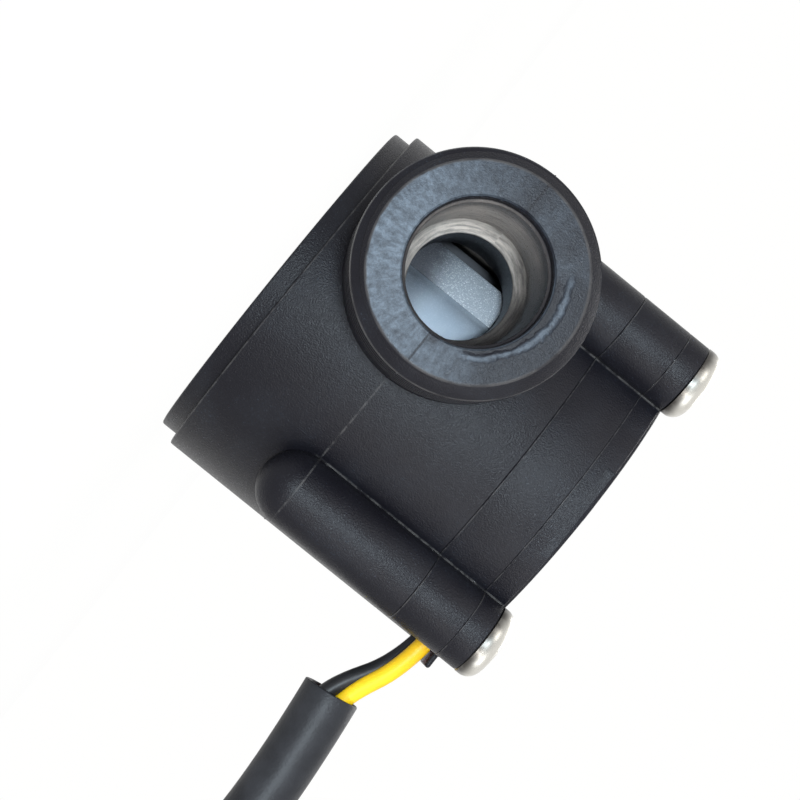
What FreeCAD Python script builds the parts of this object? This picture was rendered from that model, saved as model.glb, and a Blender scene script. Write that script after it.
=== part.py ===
# Water flow sensor: a moulded body with two threaded pipe ends, a turbine wheel on a
# steel shaft, a cover with a Hall switch on a small board, and a three-wire lead.
# Millimetres. +Z is the housing axis, the flat back lies at Z = 0, water enters at -X
# and leaves at +X, and the lead comes out at -Y.
import FreeCAD, Part
import math
import os
import re

import Sketcher

from FreeCAD import Placement, Rotation, Vector

SIZES = {
    # round body
    "body_wall": 3.9,
    "floor_thickness": 7.7,
    "back_step": 1.0,
    "back_depth": 1.75,
    # pipe ends, whose axis runs along X beside the housing axis
    "pipe_flush": 0.2,
    "pipe_rise": 5.5,
    "overall_length": 62.5,
    "thread_radius": 10.48,
    "thread_length": 11.35,
    "thread_pitch": 1.814,
    "thread_depth": 1.1,
    "groove_reach": 0.57,
    "groove_count": 5,
    "lead_in": 1.3,
    "lead_in_depth": 1.28,
    "neck_step": 0.48,
    "mouth_radius": 6.3,
    "mouth_depth": 1.5,
    "bore_radius": 5.9,
    "cone_length": 1.7,
    "throat_radius": 4.75,
    "throat_reach": 1.6,
    # chamber and the bore above it that takes the cover's plug
    "chamber_height": 11.2,
    "plug_step": 0.6,
    "plug_depth": 7.8,
    "plug_clearance": 0.1,
    "joint_chamfer": 0.2,
    # screw bosses on a square round the body, each standing out from it
    "boss_out": 2.289,
    "boss_radius": 3.5,
    # cover
    "cover_thickness": 5.2,
    "pocket_wall": 3.1,
    "plug_floor": 1.75,
    "seal_groove_depth": 1.45,
    "seal_groove_width": 2.0,
    "seal_drop": 3.3,
    "seal_slack": 0.02,
    "post_radius": 1.1,
    "post_height": 2.6,
    "shaft_seat_wall": 1.2,
    "shaft_seat_height": 1.25,
    # cap over the board
    "cap_thickness": 2.2,
    "cap_rise": 0.5,
    "cap_rim_width": 1.7,
    "cap_flat_depth": 0.9,
    "cap_flat_top": 3.9,
    "cap_flat_length": 12.0,
    "arrow_height": 0.4,
    "arrow_width": 1.8,
    "arrow_inset": 2.8,
    "arrow_head_length": 7.0,
    "arrow_head_width": 7.0,
    # screws
    "screw_radius": 1.75,
    "screw_length": 18.0,
    "screw_head_radius": 3.55,
    "screw_head_height": 1.8,
    "screw_crown": 1.3,
    "screw_slot": 0.9,
    "screw_slot_length": 3.8,
    "screw_slot_depth": 1.2,
    "screw_hole_clearance": 0.12,
    "screw_thread_clearance": 0.02,
    "screw_hole_spare": 0.6,
    # turbine wheel
    "wheel_radius": 13.3,
    "wheel_tip_gap": 0.7,
    "blade_floor_gap": 0.8,
    "blade_cover_gap": 1.0,
    "blade_tip": 5.73,
    "blade_gap_inset": 1.7,
    "blade_count": 6,
    "wheel_turn": 17.4,
    "hub_web": 0.5,
    "running_gap": 0.05,
    "washer_radius": 2.6,
    "washer_thickness": 0.4,
    "shaft_radius": 1.0,
    "shaft_floor": 3.2,
    "shaft_end_gap": 0.1,
    "press_clearance": 0.02,
    "magnet_radius": 2.0,
    "magnet_thickness": 2.5,
    "magnet_wall": 0.3,
    "magnet_clearance": 0.03,
    "magnet_depth": 0.1,
    # board and its parts
    "board_corner_gap": 1.09,
    "board_width": 13.0,
    "board_thickness": 1.2,
    "post_inset": 1.8,
    "hall_length": 4.1,
    "hall_width": 3.0,
    "hall_thickness": 1.55,
    "hall_lift": 0.05,
    "hall_gap": 0.4,
    "lead_thickness": 0.4,
    "lead_pitch": 1.27,
    "lead_reach": 1.1,
    "chip_length": 2.0,
    "chip_width": 1.25,
    "chip_end": 0.4,
    "chip_step": 0.05,
    "capacitor_thickness": 1.0,
    "resistor_thickness": 0.5,
    "chip_place": 4.5,
    # lead
    "wire_count": 3,
    "wire_radius": 0.85,
    "wire_gap": 0.2,
    "wire_place": -3.1,
    "wire_slot_clearance": 0.1,
    "wire_slot_length": 12.0,
    "wire_rise": 0.1,
    "middle_wire_drop": 0.28,
    "lip_reach": 1.3,
    "lip_thickness": 0.6,
    "bundle_slack": 0.023,
    "sleeve_slack": 0.48,
    "sleeve_wall": 0.35,
    # connector
    "plug_length": 9.8,
    "plug_width": 9.8,
    "plug_thickness": 5.8,
    "plug_pitch": 2.5,
    "cavity_width": 2.0,
    "cavity_front_wall": 0.8,
    "window_width": 1.1,
    "rib_width": 0.9,
    "rib_height": 0.5,
    "rib_length": 6.5,
    "wire_lead_in": 3.0,
    "terminal_width": 1.8,
    "terminal_wall": 0.3,
    "terminal_start": 2.5,
    "terminal_front_gap": 0.1,
    "wire_end_gap": 0.1,
}

# The sleeve's centre line, chosen by hand: out of view it comes down to the surface.
SLEEVE_ROUTE = [
    (-3.0, -27.1, 28.1),
    (-3.0, -37.8, 28.95),
    (-4.2, -49.4, 27.4),
    (-6.2, -60.0, 21.9),
    (-7.2, -69.4, 14.2),
    (-5.0, -78.0, 7.4),
    (1.4, -85.8, 3.3),
    (11.6, -91.2, 2.8),
    (22.8, -91.6, 2.8),
]
# From the sleeve's end the wires run on to the connector.
TAIL_ROUTE = [
    (31.4, -88.4, 2.3),
    (38.6, -82.6, 2.3),
]
CONNECTOR_PLACE = (43.4, -75.4, 2.9)
CONNECTOR_YAW = 59.0

# Each wire's step across the board and the plug, its drop in the slot, and its angle in
# degrees round the sleeve's centre line.
WIRES = {
    "wire_yellow": (-1, 0.0, 150.0),
    "wire_black": (0, 1.0, 270.0),
    "wire_red": (1, 0.0, 30.0),
}

ALONG_X = Rotation(Vector(0, 1, 0), 90)
ALONG_Z = Rotation()

doc = FreeCAD.newDocument("water_flow_sensor")


def make_sheet():
    """Writes the driving sizes into a spreadsheet, one alias for each."""
    sheet = doc.addObject("Spreadsheet::Sheet", "Sizes")
    for row, (alias, value) in enumerate(SIZES.items(), start=1):
        sheet.set(f"A{row}", alias)
        sheet.set(f"B{row}", str(value))
        sheet.setAlias(f"B{row}", alias)
    doc.recompute()
    return sheet


sheet = make_sheet()


def bound(expression):
    """The expression with each size's name pointed at the sheet."""
    return re.sub(r"[a-z][a-z_]+", lambda m: f"Sizes.{m[0]}" if m[0] in SIZES else m[0], expression)


def size(alias):
    """A size's number, read from the sheet."""
    return float(sheet.get(alias))


def bind(obj, **expressions):
    """Binds properties of an object to expressions in the sizes."""
    for name, expression in expressions.items():
        obj.setExpression(name, bound(expression))


def place(obj, x="0", y="0", z="0", turn=ALONG_Z):
    """Turns an object and binds its place."""
    obj.Placement = Placement(Vector(), turn)
    for axis, expression in (("x", x), ("y", y), ("z", z)):
        obj.setExpression(f"Placement.Base.{axis}", bound(expression))
    return obj


def cylinder(name, radius, height, x="0", y="0", z="0", turn=ALONG_Z):
    obj = doc.addObject("Part::Cylinder", name)
    bind(obj, Radius=radius, Height=height)
    return place(obj, x, y, z, turn)


def cone(name, radius1, radius2, height, x="0", y="0", z="0", turn=ALONG_Z):
    obj = doc.addObject("Part::Cone", name)
    bind(obj, Radius1=radius1, Radius2=radius2, Height=height)
    return place(obj, x, y, z, turn)


def box(name, length, width, height, x="0", y="0", z="0"):
    """A box whose x, y and z expressions give its lowest corner."""
    obj = doc.addObject("Part::Box", name)
    bind(obj, Length=length, Width=width, Height=height)
    return place(obj, x, y, z)


def lower_half_sphere(name, radius, x="0", y="0", z="0"):
    obj = doc.addObject("Part::Sphere", name)
    bind(obj, Radius=radius)
    obj.Angle2 = 0
    return place(obj, x, y, z)


def fuse(name, *shapes):
    obj = doc.addObject("Part::MultiFuse", name)
    obj.Shapes = list(shapes)
    return obj


def fuse_in_turn(name, *shapes):
    """Joins the shapes one after another."""
    joined = shapes[0]
    for i, shape in enumerate(shapes[1:], start=1):
        step = doc.addObject("Part::Fuse", f"{name}_{i}")
        step.Base = joined
        step.Tool = shape
        joined = step
    return joined


def cut(name, base, *tools):
    """The base less all the tools."""
    tool = tools[0] if len(tools) == 1 else fuse(f"{name}_tools", *tools)
    obj = doc.addObject("Part::Cut", name)
    obj.Base = base
    obj.Tool = tool
    return obj


def chamfer(name, base, length, wanted):
    """Chamfers the base's edges for which wanted(edge) is true."""
    doc.recompute()
    obj = doc.addObject("Part::Chamfer", name)
    obj.Base = base
    obj.Edges = [(i, length, length) for i, edge in enumerate(base.Shape.Edges, 1) if wanted(edge)]
    return obj


def rounded(name, base, radius, wanted):
    """Rounds the base's edges for which wanted(edge) is true."""
    doc.recompute()
    obj = doc.addObject("Part::Fillet", name)
    obj.Base = base
    obj.Edges = [(i, radius, radius) for i, edge in enumerate(base.Shape.Edges, 1) if wanted(edge)]
    return obj


def is_rim(edge, height, radius):
    """Whether an edge is a full or part circle about the housing axis at this height."""
    if edge.Degenerated:
        return False
    curve = edge.Curve
    return (
        isinstance(curve, Part.Circle)
        and abs(curve.Center.z - height) < 1e-4
        and math.hypot(curve.Center.x, curve.Center.y) < 1e-4
        and abs(curve.Radius - radius) < 1e-4
    )


PIECES = []


def piece(obj, label):
    """Names an object as one of the sensor's physical pieces."""
    obj.Label = label
    PIECES.append(obj)
    return obj


def corners():
    """The four screw places as (name, x, y) with x and y as expressions."""
    return [
        ("front_left", f"-{BOSS_PLACE}", BOSS_PLACE),
        ("front_right", f"-{BOSS_PLACE}", f"-{BOSS_PLACE}"),
        ("rear_left", BOSS_PLACE, BOSS_PLACE),
        ("rear_right", BOSS_PLACE, f"-{BOSS_PLACE}"),
    ]


def bosses(name, height, bottom):
    return [cylinder(f"{name}_boss_{c}", "boss_radius", height, x, y, bottom) for c, x, y in corners()]


def screw_holes(name, radius, bottom, height):
    return [cylinder(f"{name}_{c}", radius, height, x, y, bottom) for c, x, y in corners()]


# Heights that follow from the sizes, from the back face up.
PIPE_HEIGHT = "(floor_thickness + pipe_rise)"
PLUG_SEAT = "(floor_thickness + chamber_height)"
JOINT = f"({PLUG_SEAT} + plug_depth)"
CAP_JOINT = f"({JOINT} + cover_thickness)"
CAP_TOP = f"({CAP_JOINT} + cap_thickness)"
POCKET_FLOOR = f"({PLUG_SEAT} + plug_floor)"
BOARD_BOTTOM = f"({POCKET_FLOOR} + post_height)"
BOARD_TOP = f"({BOARD_BOTTOM} + board_thickness)"
HUB_BOTTOM = "(floor_thickness + washer_thickness + running_gap)"
HUB_TOP = f"({PLUG_SEAT} - washer_thickness - running_gap)"
WIRE_LEVEL = f"({CAP_JOINT} + wire_rise)"

# Radii and places that follow from the sizes, from the wheel outwards.
CHAMBER_RADIUS = "(wheel_radius + wheel_tip_gap)"
PLUG_BORE = f"({CHAMBER_RADIUS} + plug_step)"
BODY_RADIUS = f"({PLUG_BORE} + body_wall)"
BACK_RADIUS = f"({BODY_RADIUS} - back_step)"
PIPE_OFFSET = f"({BODY_RADIUS} - (thread_radius - neck_step) - pipe_flush)"
BOSS_PLACE = f"(({BODY_RADIUS} + boss_out) * sqrt(2) / 2)"
PLUG_RADIUS = f"({PLUG_BORE} - plug_clearance)"
GROOVE_RADIUS = f"({PLUG_RADIUS} - seal_groove_depth)"
POCKET_RADIUS = f"({PLUG_RADIUS} - pocket_wall)"
GAP_RADIUS = "(pi * wheel_radius / blade_count - blade_tip / 2)"
GAP_PLACE = "(wheel_radius - blade_gap_inset)"
HUB_RADIUS = f"({GAP_PLACE} - {GAP_RADIUS} - hub_web)"
WHEEL_WIDTH = "(chamber_height - blade_floor_gap - blade_cover_gap)"
MAGNET_PLACE = f"({HUB_RADIUS} - magnet_wall - magnet_radius)"
HALL_CLEAR = "shaft_radius + shaft_seat_wall + hall_gap + hall_length / 2"
HALL_PLACE = f"max({MAGNET_PLACE}; {HALL_CLEAR})"
BOARD_LENGTH = f"(2 * sqrt(({POCKET_RADIUS} - board_corner_gap)^2 - board_width^2 / 4))"
THROAT_START = f"({CHAMBER_RADIUS} + throat_reach)"
BORE_END = f"({THROAT_START} + cone_length)"
PORT_END = "(overall_length / 2)"
NECK_END = f"({PORT_END} - lead_in - thread_length)"
FACE_RADIUS = "(thread_radius - lead_in_depth)"
WIRE_PITCH = "(2 * wire_radius + wire_gap)"
SLOT_WIDTH = f"(wire_count * {WIRE_PITCH} + 2 * wire_slot_clearance)"


def total(*aliases):
    """The sum of some sizes, with a minus sign before the name of one that is taken off."""
    return sum(-size(a[1:]) if a.startswith("-") else size(a) for a in aliases)


def body_radius():
    return total("wheel_radius", "wheel_tip_gap", "plug_step", "body_wall")


def gap_radius():
    return math.pi * size("wheel_radius") / size("blade_count") - size("blade_tip") / 2


def wire_pitch():
    return 2 * size("wire_radius") + size("wire_gap")


def bundle_radius():
    """How far each wire lies from the sleeve's centre line when the three touch, and a little more."""
    return wire_pitch() / math.sqrt(3) + size("bundle_slack")


def sleeve_bore():
    return bundle_radius() + total("wire_radius", "sleeve_slack")


def round_along_pipe(name, side, start, length, outer, inner):
    """A solid on the pipe's axis, from start inwards by length, both measured from the pipe's end."""
    low = f"{start} - {PORT_END}" if side < 0 else f"{PORT_END} - {start} - {length}"
    if outer == inner:
        return cylinder(name, outer, length, low, PIPE_OFFSET, PIPE_HEIGHT, ALONG_X)
    radii = (outer, inner) if side < 0 else (inner, outer)
    return cone(name, *radii, length, low, PIPE_OFFSET, PIPE_HEIGHT, ALONG_X)


def port(name, side):
    """One pipe end's lead-in and thread; side is -1 for the inlet and 1 for the outlet."""
    crest, root = "thread_radius", "(thread_radius - thread_depth)"
    solids = [round_along_pipe(f"{name}_lead_in", side, "0", "lead_in", FACE_RADIUS, crest)]
    land = "lead_in"
    count = int(size("groove_count"))
    for i in range(count):
        middle = f"(lead_in + thread_pitch * ({i} + 1 / 2))"
        fall = f"({middle} - groove_reach)"
        solids += [
            round_along_pipe(f"{name}_crest_{i}", side, land, f"({fall} - {land})", crest, crest),
            round_along_pipe(f"{name}_fall_{i}", side, fall, "groove_reach", crest, root),
            round_along_pipe(f"{name}_rise_{i}", side, middle, "groove_reach", root, crest),
        ]
        land = f"({middle} + groove_reach)"
    last = f"(lead_in + thread_length - {land})"
    solids.append(round_along_pipe(f"{name}_crest_{count}", side, land, last, crest, crest))
    return solids


def waterway(name, side):
    """The mouth and bore of one pipe end, the cone at its bottom and the throat into the chamber."""
    bore, throat = "bore_radius", "throat_radius"
    cone_start = f"({PORT_END} - {BORE_END})"
    throat_start = f"({PORT_END} - {THROAT_START})"
    return [
        round_along_pipe(f"{name}_mouth", side, "0", "mouth_depth", "mouth_radius", "mouth_radius"),
        round_along_pipe(f"{name}_bore", side, "0", cone_start, bore, bore),
        round_along_pipe(f"{name}_cone", side, cone_start, "cone_length", bore, throat),
        round_along_pipe(f"{name}_throat", side, throat_start, THROAT_START, throat, throat),
    ]


def make_housing_body():
    """The moulded body: chamber, pipe ends, screw bosses and flat back."""
    solids = [
        cylinder("back_disc", BACK_RADIUS, "back_depth"),
        cylinder("round_body", BODY_RADIUS, f"{JOINT} - back_depth", z="back_depth"),
        cylinder("pipe_neck", "thread_radius - neck_step", f"2 * {NECK_END}",
                 f"-{NECK_END}", PIPE_OFFSET, PIPE_HEIGHT, ALONG_X),
    ]
    solids += port("inlet", -1) + port("outlet", 1)
    solids += bosses("body", f"{JOINT} - {PIPE_HEIGHT}", PIPE_HEIGHT)
    for c, x, y in corners():
        solids.append(lower_half_sphere(f"boss_end_{c}", "boss_radius", x, y, PIPE_HEIGHT))
    hollows = [
        cylinder("chamber", CHAMBER_RADIUS, "chamber_height + 1", z="floor_thickness"),
        cylinder("plug_bore", PLUG_BORE, "plug_depth + 1", z=PLUG_SEAT),
        cylinder("shaft_hole", "shaft_radius + press_clearance", "floor_thickness - shaft_floor + 1",
                 z="shaft_floor"),
    ]
    hollows += waterway("inlet", -1) + waterway("outlet", 1)
    hole_bottom = f"{CAP_TOP} - screw_length - screw_hole_spare"
    hole_radius = "screw_radius + screw_thread_clearance"
    hollows += screw_holes("body_hole", hole_radius, hole_bottom, "screw_length")
    body = cut("housing_cut", fuse_in_turn("body_outside", *solids), *hollows)
    back_rim, body_rim = body_radius() - size("back_step"), body_radius()
    edged = chamfer(
        "housing_edges", body, size("joint_chamfer"),
        lambda e: is_rim(e, 0, back_rim) or is_rim(e, size("back_depth"), body_rim),
    )
    return piece(edged, "housing_body")


def lead_slot(name, bottom, height):
    """The groove that the three wires leave through, at the -Y side."""
    return box(name, SLOT_WIDTH, "wire_slot_length + lip_reach + 1", height,
               f"wire_place - {SLOT_WIDTH} / 2", f"-({BODY_RADIUS} + lip_reach + 1)", bottom)


def make_cover():
    """The cover: a flange with a plug that closes the chamber and holds the board."""
    flange = [cylinder("flange", BODY_RADIUS, "cover_thickness", z=JOINT)]
    flange += bosses("cover", "cover_thickness", JOINT)
    plug = cylinder("plug", PLUG_RADIUS, "plug_depth", z=PLUG_SEAT)
    groove_bottom = f"{JOINT} - seal_drop - seal_groove_width / 2"
    groove = cut(
        "seal_groove",
        cylinder("groove_outside", f"{PLUG_BORE} + 1", "seal_groove_width", z=groove_bottom),
        cylinder("groove_inside", GROOVE_RADIUS, "seal_groove_width", z=groove_bottom),
    )
    pocket = cylinder("board_pocket", POCKET_RADIUS, f"{CAP_JOINT} - {POCKET_FLOOR} + 1", z=POCKET_FLOOR)
    slot = lead_slot("cover_slot",
                     f"{WIRE_LEVEL} - wire_radius - middle_wire_drop - wire_slot_clearance / 2",
                     "cover_thickness")
    holes = screw_holes("cover_hole", "screw_radius + screw_hole_clearance", JOINT, "cover_thickness")
    shell = cut("cover_shell", fuse("cover_outside", *flange, plug), groove, pocket, slot, *holes)
    posts = [
        cylinder(f"post_{i}", "post_radius", "post_height",
                 f"{sx} * ({BOARD_LENGTH} / 2 - post_inset)", f"{sy} * (board_width / 2 - post_inset)",
                 POCKET_FLOOR)
        for i, (sx, sy) in enumerate([(-1, -1), (-1, 1), (1, -1), (1, 1)])
    ]
    seat = cylinder("shaft_seat", "shaft_radius + shaft_seat_wall", "shaft_seat_height", z=POCKET_FLOOR)
    seat_hole = cylinder("shaft_seat_hole", "shaft_radius + press_clearance",
                         "plug_floor + shaft_seat_height / 2", z=PLUG_SEAT)
    return piece(cut("cover_whole", fuse("cover_inside", shell, seat, *posts), seat_hole), "cover")


def make_cover_seal():
    """The ring in the plug's groove."""
    seal = doc.addObject("Part::Torus", "cover_seal")
    bind(seal, Radius1=f"({GROOVE_RADIUS} + {PLUG_BORE}) / 2",
         Radius2=f"({PLUG_BORE} - {GROOVE_RADIUS}) / 2 - seal_slack")
    return piece(place(seal, z=f"{JOINT} - seal_drop"), "cover_seal")


def make_arrow():
    """The raised arrow on the cap that points with the flow."""
    top = total("floor_thickness", "chamber_height", "plug_depth", "cover_thickness", "cap_thickness",
                "cap_rise")
    half, wide = size("arrow_width") / 2, size("arrow_head_width") / 2
    tip = body_radius() - size("cap_rim_width") - size("arrow_inset")
    shoulder = tip - size("arrow_head_length")
    outline = [(-tip, -half), (shoulder, -half), (shoulder, -wide), (tip, 0),
               (shoulder, wide), (shoulder, half), (-tip, half)]
    points = [Vector(x, y, top) for x, y in outline]
    face = Part.Face(Part.makePolygon([*points, points[0]]))
    arrow = doc.addObject("Part::Feature", "arrow")
    arrow.Shape = face.extrude(Vector(0, 0, size("arrow_height")))
    return arrow


def make_cap_plate():
    """The cap over the board, with a raised middle, a flat on its rim and a lip over the wires."""
    solids = [
        cylinder("cap_rim", BODY_RADIUS, "cap_thickness", z=CAP_JOINT),
        cylinder("cap_middle", f"{BODY_RADIUS} - cap_rim_width", "cap_thickness + cap_rise", z=CAP_JOINT),
    ]
    solids += bosses("cap", "cap_thickness", CAP_JOINT)
    lip_bottom = f"({WIRE_LEVEL} + wire_radius + wire_slot_clearance)"
    lip = box("wire_lip", SLOT_WIDTH, "lip_reach + 2", "lip_thickness",
              f"wire_place - {SLOT_WIDTH} / 2", f"-({BODY_RADIUS} + lip_reach)", lip_bottom)
    cutters = [
        box("cap_flat", "2", "cap_flat_length", "cap_thickness + 1",
            f"-({BODY_RADIUS} - cap_flat_depth + 2)", "cap_flat_top - cap_flat_length", CAP_JOINT),
        lead_slot("cap_slot", CAP_JOINT, f"{lip_bottom} - {CAP_JOINT}"),
    ]
    cutters += screw_holes("cap_hole", "screw_radius + screw_hole_clearance", CAP_JOINT, "cap_thickness")
    plain = cut("cap_cut", fuse("cap_outside", *solids, lip), *cutters)
    return piece(fuse("cap_plate", plain, make_arrow()), "cap_plate")


def make_screws():
    """Four pan-head screws with cross slots, one at each boss."""
    for c, x, y in corners():
        shank = cylinder(f"shank_{c}", "screw_radius", "screw_length - screw_radius",
                         z=f"{CAP_TOP} - screw_length + screw_radius")
        tip = cone(f"tip_{c}", "screw_radius / 4", "screw_radius", "screw_radius",
                   z=f"{CAP_TOP} - screw_length")
        head = cylinder(f"head_{c}", "screw_head_radius", "screw_head_height", z=CAP_TOP)
        top = total("floor_thickness", "chamber_height", "plug_depth", "cover_thickness", "cap_thickness",
                    "screw_head_height")
        crown = rounded(f"crown_{c}", head, size("screw_crown"),
                        lambda e: is_rim(e, top, size("screw_head_radius")))
        slot_z = f"{CAP_TOP} + screw_head_height - screw_slot_depth"
        slots = [
            box(f"slot_a_{c}", "screw_slot_length", "screw_slot", "screw_slot_depth + 1",
                "-screw_slot_length / 2", "-screw_slot / 2", slot_z),
            box(f"slot_b_{c}", "screw_slot", "screw_slot_length", "screw_slot_depth + 1",
                "-screw_slot / 2", "-screw_slot_length / 2", slot_z),
        ]
        screw = cut(f"screw_{c}", fuse(f"screw_outside_{c}", shank, tip, crown), *slots)
        piece(place(screw, x, y), f"cover_screw_{c}")


def pocket_sketch(body, name):
    """A sketch on the body's own XY plane."""
    sketch = body.newObject("Sketcher::SketchObject", name)
    plane = next(f for f in body.Origin.OriginFeatures if f.Role == "XY_Plane")
    sketch.AttachmentSupport = [(plane, "")]
    sketch.MapMode = "FlatFace"
    return sketch


def wheel_outline(sketch):
    """A circle round the sketch's origin with the wheel's radius."""
    circle = sketch.addGeometry(Part.Circle(Vector(), Vector(0, 0, 1), size("wheel_radius")), False)
    sketch.addConstraint(Sketcher.Constraint("Coincident", circle, 3, -1, 1))
    index = sketch.addConstraint(Sketcher.Constraint("Radius", circle, size("wheel_radius")))
    sketch.setExpression(f"Constraints[{index}]", bound("wheel_radius"))


def blade_gap(sketch):
    """A U-shaped gap between two blades: a round bottom and straight sides to past the rim."""
    place_x, radius = size("wheel_radius") - size("blade_gap_inset"), gap_radius()
    end_x = size("wheel_radius") + 2
    low, high = Vector(place_x, -radius, 0), Vector(place_x, radius, 0)
    low_end, high_end = Vector(end_x, -radius, 0), Vector(end_x, radius, 0)
    circle = Part.Circle(Vector(place_x, 0, 0), Vector(0, 0, 1), radius)
    arc = sketch.addGeometry(Part.ArcOfCircle(circle, math.pi / 2, 3 * math.pi / 2), False)
    bottom = sketch.addGeometry(Part.LineSegment(low, low_end), False)
    end = sketch.addGeometry(Part.LineSegment(low_end, high_end), False)
    top = sketch.addGeometry(Part.LineSegment(high_end, high), False)
    for first, first_end, second, second_end in ((bottom, 2, end, 1), (end, 2, top, 1)):
        sketch.addConstraint(Sketcher.Constraint("Coincident", first, first_end, second, second_end))
    sketch.addConstraint(Sketcher.Constraint("Tangent", arc, 2, bottom, 1))
    sketch.addConstraint(Sketcher.Constraint("Tangent", arc, 1, top, 2))
    sketch.addConstraint(Sketcher.Constraint("Horizontal", bottom))
    sketch.addConstraint(Sketcher.Constraint("Vertical", end))
    sketch.addConstraint(Sketcher.Constraint("PointOnObject", arc, 3, -1))
    index = sketch.addConstraint(Sketcher.Constraint("DistanceX", -1, 1, arc, 3, place_x))
    sketch.setExpression(f"Constraints[{index}]", bound(GAP_PLACE))
    index = sketch.addConstraint(Sketcher.Constraint("Radius", arc, radius))
    sketch.setExpression(f"Constraints[{index}]", bound(GAP_RADIUS))
    index = sketch.addConstraint(Sketcher.Constraint("DistanceX", -1, 1, end, 1, end_x))
    sketch.setExpression(f"Constraints[{index}]", bound("wheel_radius + 2"))


def make_turbine_wheel():
    """The moulded wheel: a disc with round-bottomed gaps between six blades, and a hub."""
    body = doc.addObject("PartDesign::Body", "wheel")
    rim = pocket_sketch(body, "wheel_rim")
    wheel_outline(rim)
    disc = body.newObject("PartDesign::Pad", "wheel_disc")
    disc.Profile = rim
    bind(disc, Length=WHEEL_WIDTH)
    gap = pocket_sketch(body, "blade_gap")
    blade_gap(gap)
    pocket = body.newObject("PartDesign::Pocket", "blade_gap_pocket")
    pocket.Profile = gap
    pocket.Reversed = True
    bind(pocket, Length=f"{WHEEL_WIDTH} + 1")
    doc.recompute()
    around = body.newObject("PartDesign::PolarPattern", "blade_gaps")
    around.Originals = [pocket]
    axis = next(f for f in body.Origin.OriginFeatures if f.Role == "Z_Axis")
    around.Axis = (axis, [""])
    around.Angle = 360
    bind(around, Occurrences="blade_count")
    body.Tip = around
    place(body, z="floor_thickness + blade_floor_gap")
    hub = cylinder("hub", HUB_RADIUS, f"{HUB_TOP} - {HUB_BOTTOM}", z=HUB_BOTTOM)
    bore = cylinder("wheel_bore", "shaft_radius + running_gap", f"{HUB_TOP} - {HUB_BOTTOM} + 2",
                    z=f"{HUB_BOTTOM} - 1")
    pockets = [
        cylinder(f"magnet_pocket_{i}", "magnet_radius + magnet_clearance",
                 "magnet_thickness + magnet_depth + 1",
                 f"{side} * {MAGNET_PLACE}", z=f"{HUB_TOP} - magnet_thickness - magnet_depth")
        for i, side in enumerate((-1, 1))
    ]
    wheel = cut("turbine_wheel", fuse("wheel_outside", body, hub), bore, *pockets)
    wheel.Placement = Placement(Vector(), Rotation(Vector(0, 0, 1), 180 - size("wheel_turn")))
    return piece(wheel, "turbine_wheel")


def make_magnets():
    """Two disc magnets in the hub's upper face."""
    turn = math.radians(180 - size("wheel_turn"))
    for name, side in (("wheel_magnet_a", 1), ("wheel_magnet_b", -1)):
        x = f"{side * math.cos(turn):.9f} * {MAGNET_PLACE}"
        y = f"{side * math.sin(turn):.9f} * {MAGNET_PLACE}"
        magnet = cylinder(name, "magnet_radius", "magnet_thickness", x, y,
                          f"{HUB_TOP} - magnet_thickness - magnet_depth")
        piece(magnet, name)


def make_shaft_and_washers():
    """The fixed steel shaft, and a washer at each end of the wheel."""
    shaft = cylinder("shaft", "shaft_radius",
                     f"{POCKET_FLOOR} + shaft_seat_height / 2 - shaft_floor - 2 * shaft_end_gap",
                     z="shaft_floor + shaft_end_gap")
    piece(shaft, "wheel_shaft")
    seats = {"lower_washer": "floor_thickness", "upper_washer": f"{PLUG_SEAT} - washer_thickness"}
    for name, z in seats.items():
        ring = cylinder(f"{name}_disc", "washer_radius", "washer_thickness", z=z)
        hole = cylinder(f"{name}_hole", "shaft_radius + running_gap", "washer_thickness", z=z)
        piece(cut(name, ring, hole), name)


def make_board():
    """The circuit board on its four posts."""
    board = box("board", BOARD_LENGTH, "board_width", "board_thickness",
                f"-{BOARD_LENGTH} / 2", "-board_width / 2", BOARD_BOTTOM)
    piece(board, "circuit_board")


def make_hall_switch():
    """The Hall switch under the board, over the magnets' path, with its three leads."""
    bottom = f"({POCKET_FLOOR} + hall_lift)"
    middle = f"({bottom} + hall_thickness / 2)"
    solids = [
        box("hall_case", "hall_length", "hall_width", "hall_thickness",
            f"{HALL_PLACE} - hall_length / 2", "-hall_width / 2", bottom)
    ]
    for i, step in enumerate((-1, 0, 1)):
        x = f"{HALL_PLACE} + {step} * lead_pitch - lead_thickness / 2"
        solids.append(box(f"hall_lead_{i}", "lead_thickness", "lead_reach", "lead_thickness",
                          x, "-hall_width / 2 - lead_reach", middle))
        solids.append(box(f"hall_leg_{i}", "lead_thickness", "lead_thickness", f"{BOARD_BOTTOM} - {middle}",
                          x, "-hall_width / 2 - lead_reach", middle))
    piece(fuse("hall_switch", *solids), "hall_switch")


def make_chip(name, thickness, y):
    """A surface-mounted part with a slightly larger cap at each end."""
    body = box(f"{name}_body", "chip_length", "chip_width", thickness,
               "chip_place - chip_length / 2", f"{y} - chip_width / 2", BOARD_TOP)
    ends = [
        box(f"{name}_end_{i}", "chip_end", "chip_width + 2 * chip_step", f"{thickness} + chip_step",
            f"chip_place + {side} * (chip_length / 2 - chip_end / 2) - chip_end / 2",
            f"{y} - chip_width / 2 - chip_step", BOARD_TOP)
        for i, side in enumerate((-1, 1))
    ]
    piece(fuse(name, body, *ends), name)


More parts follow.
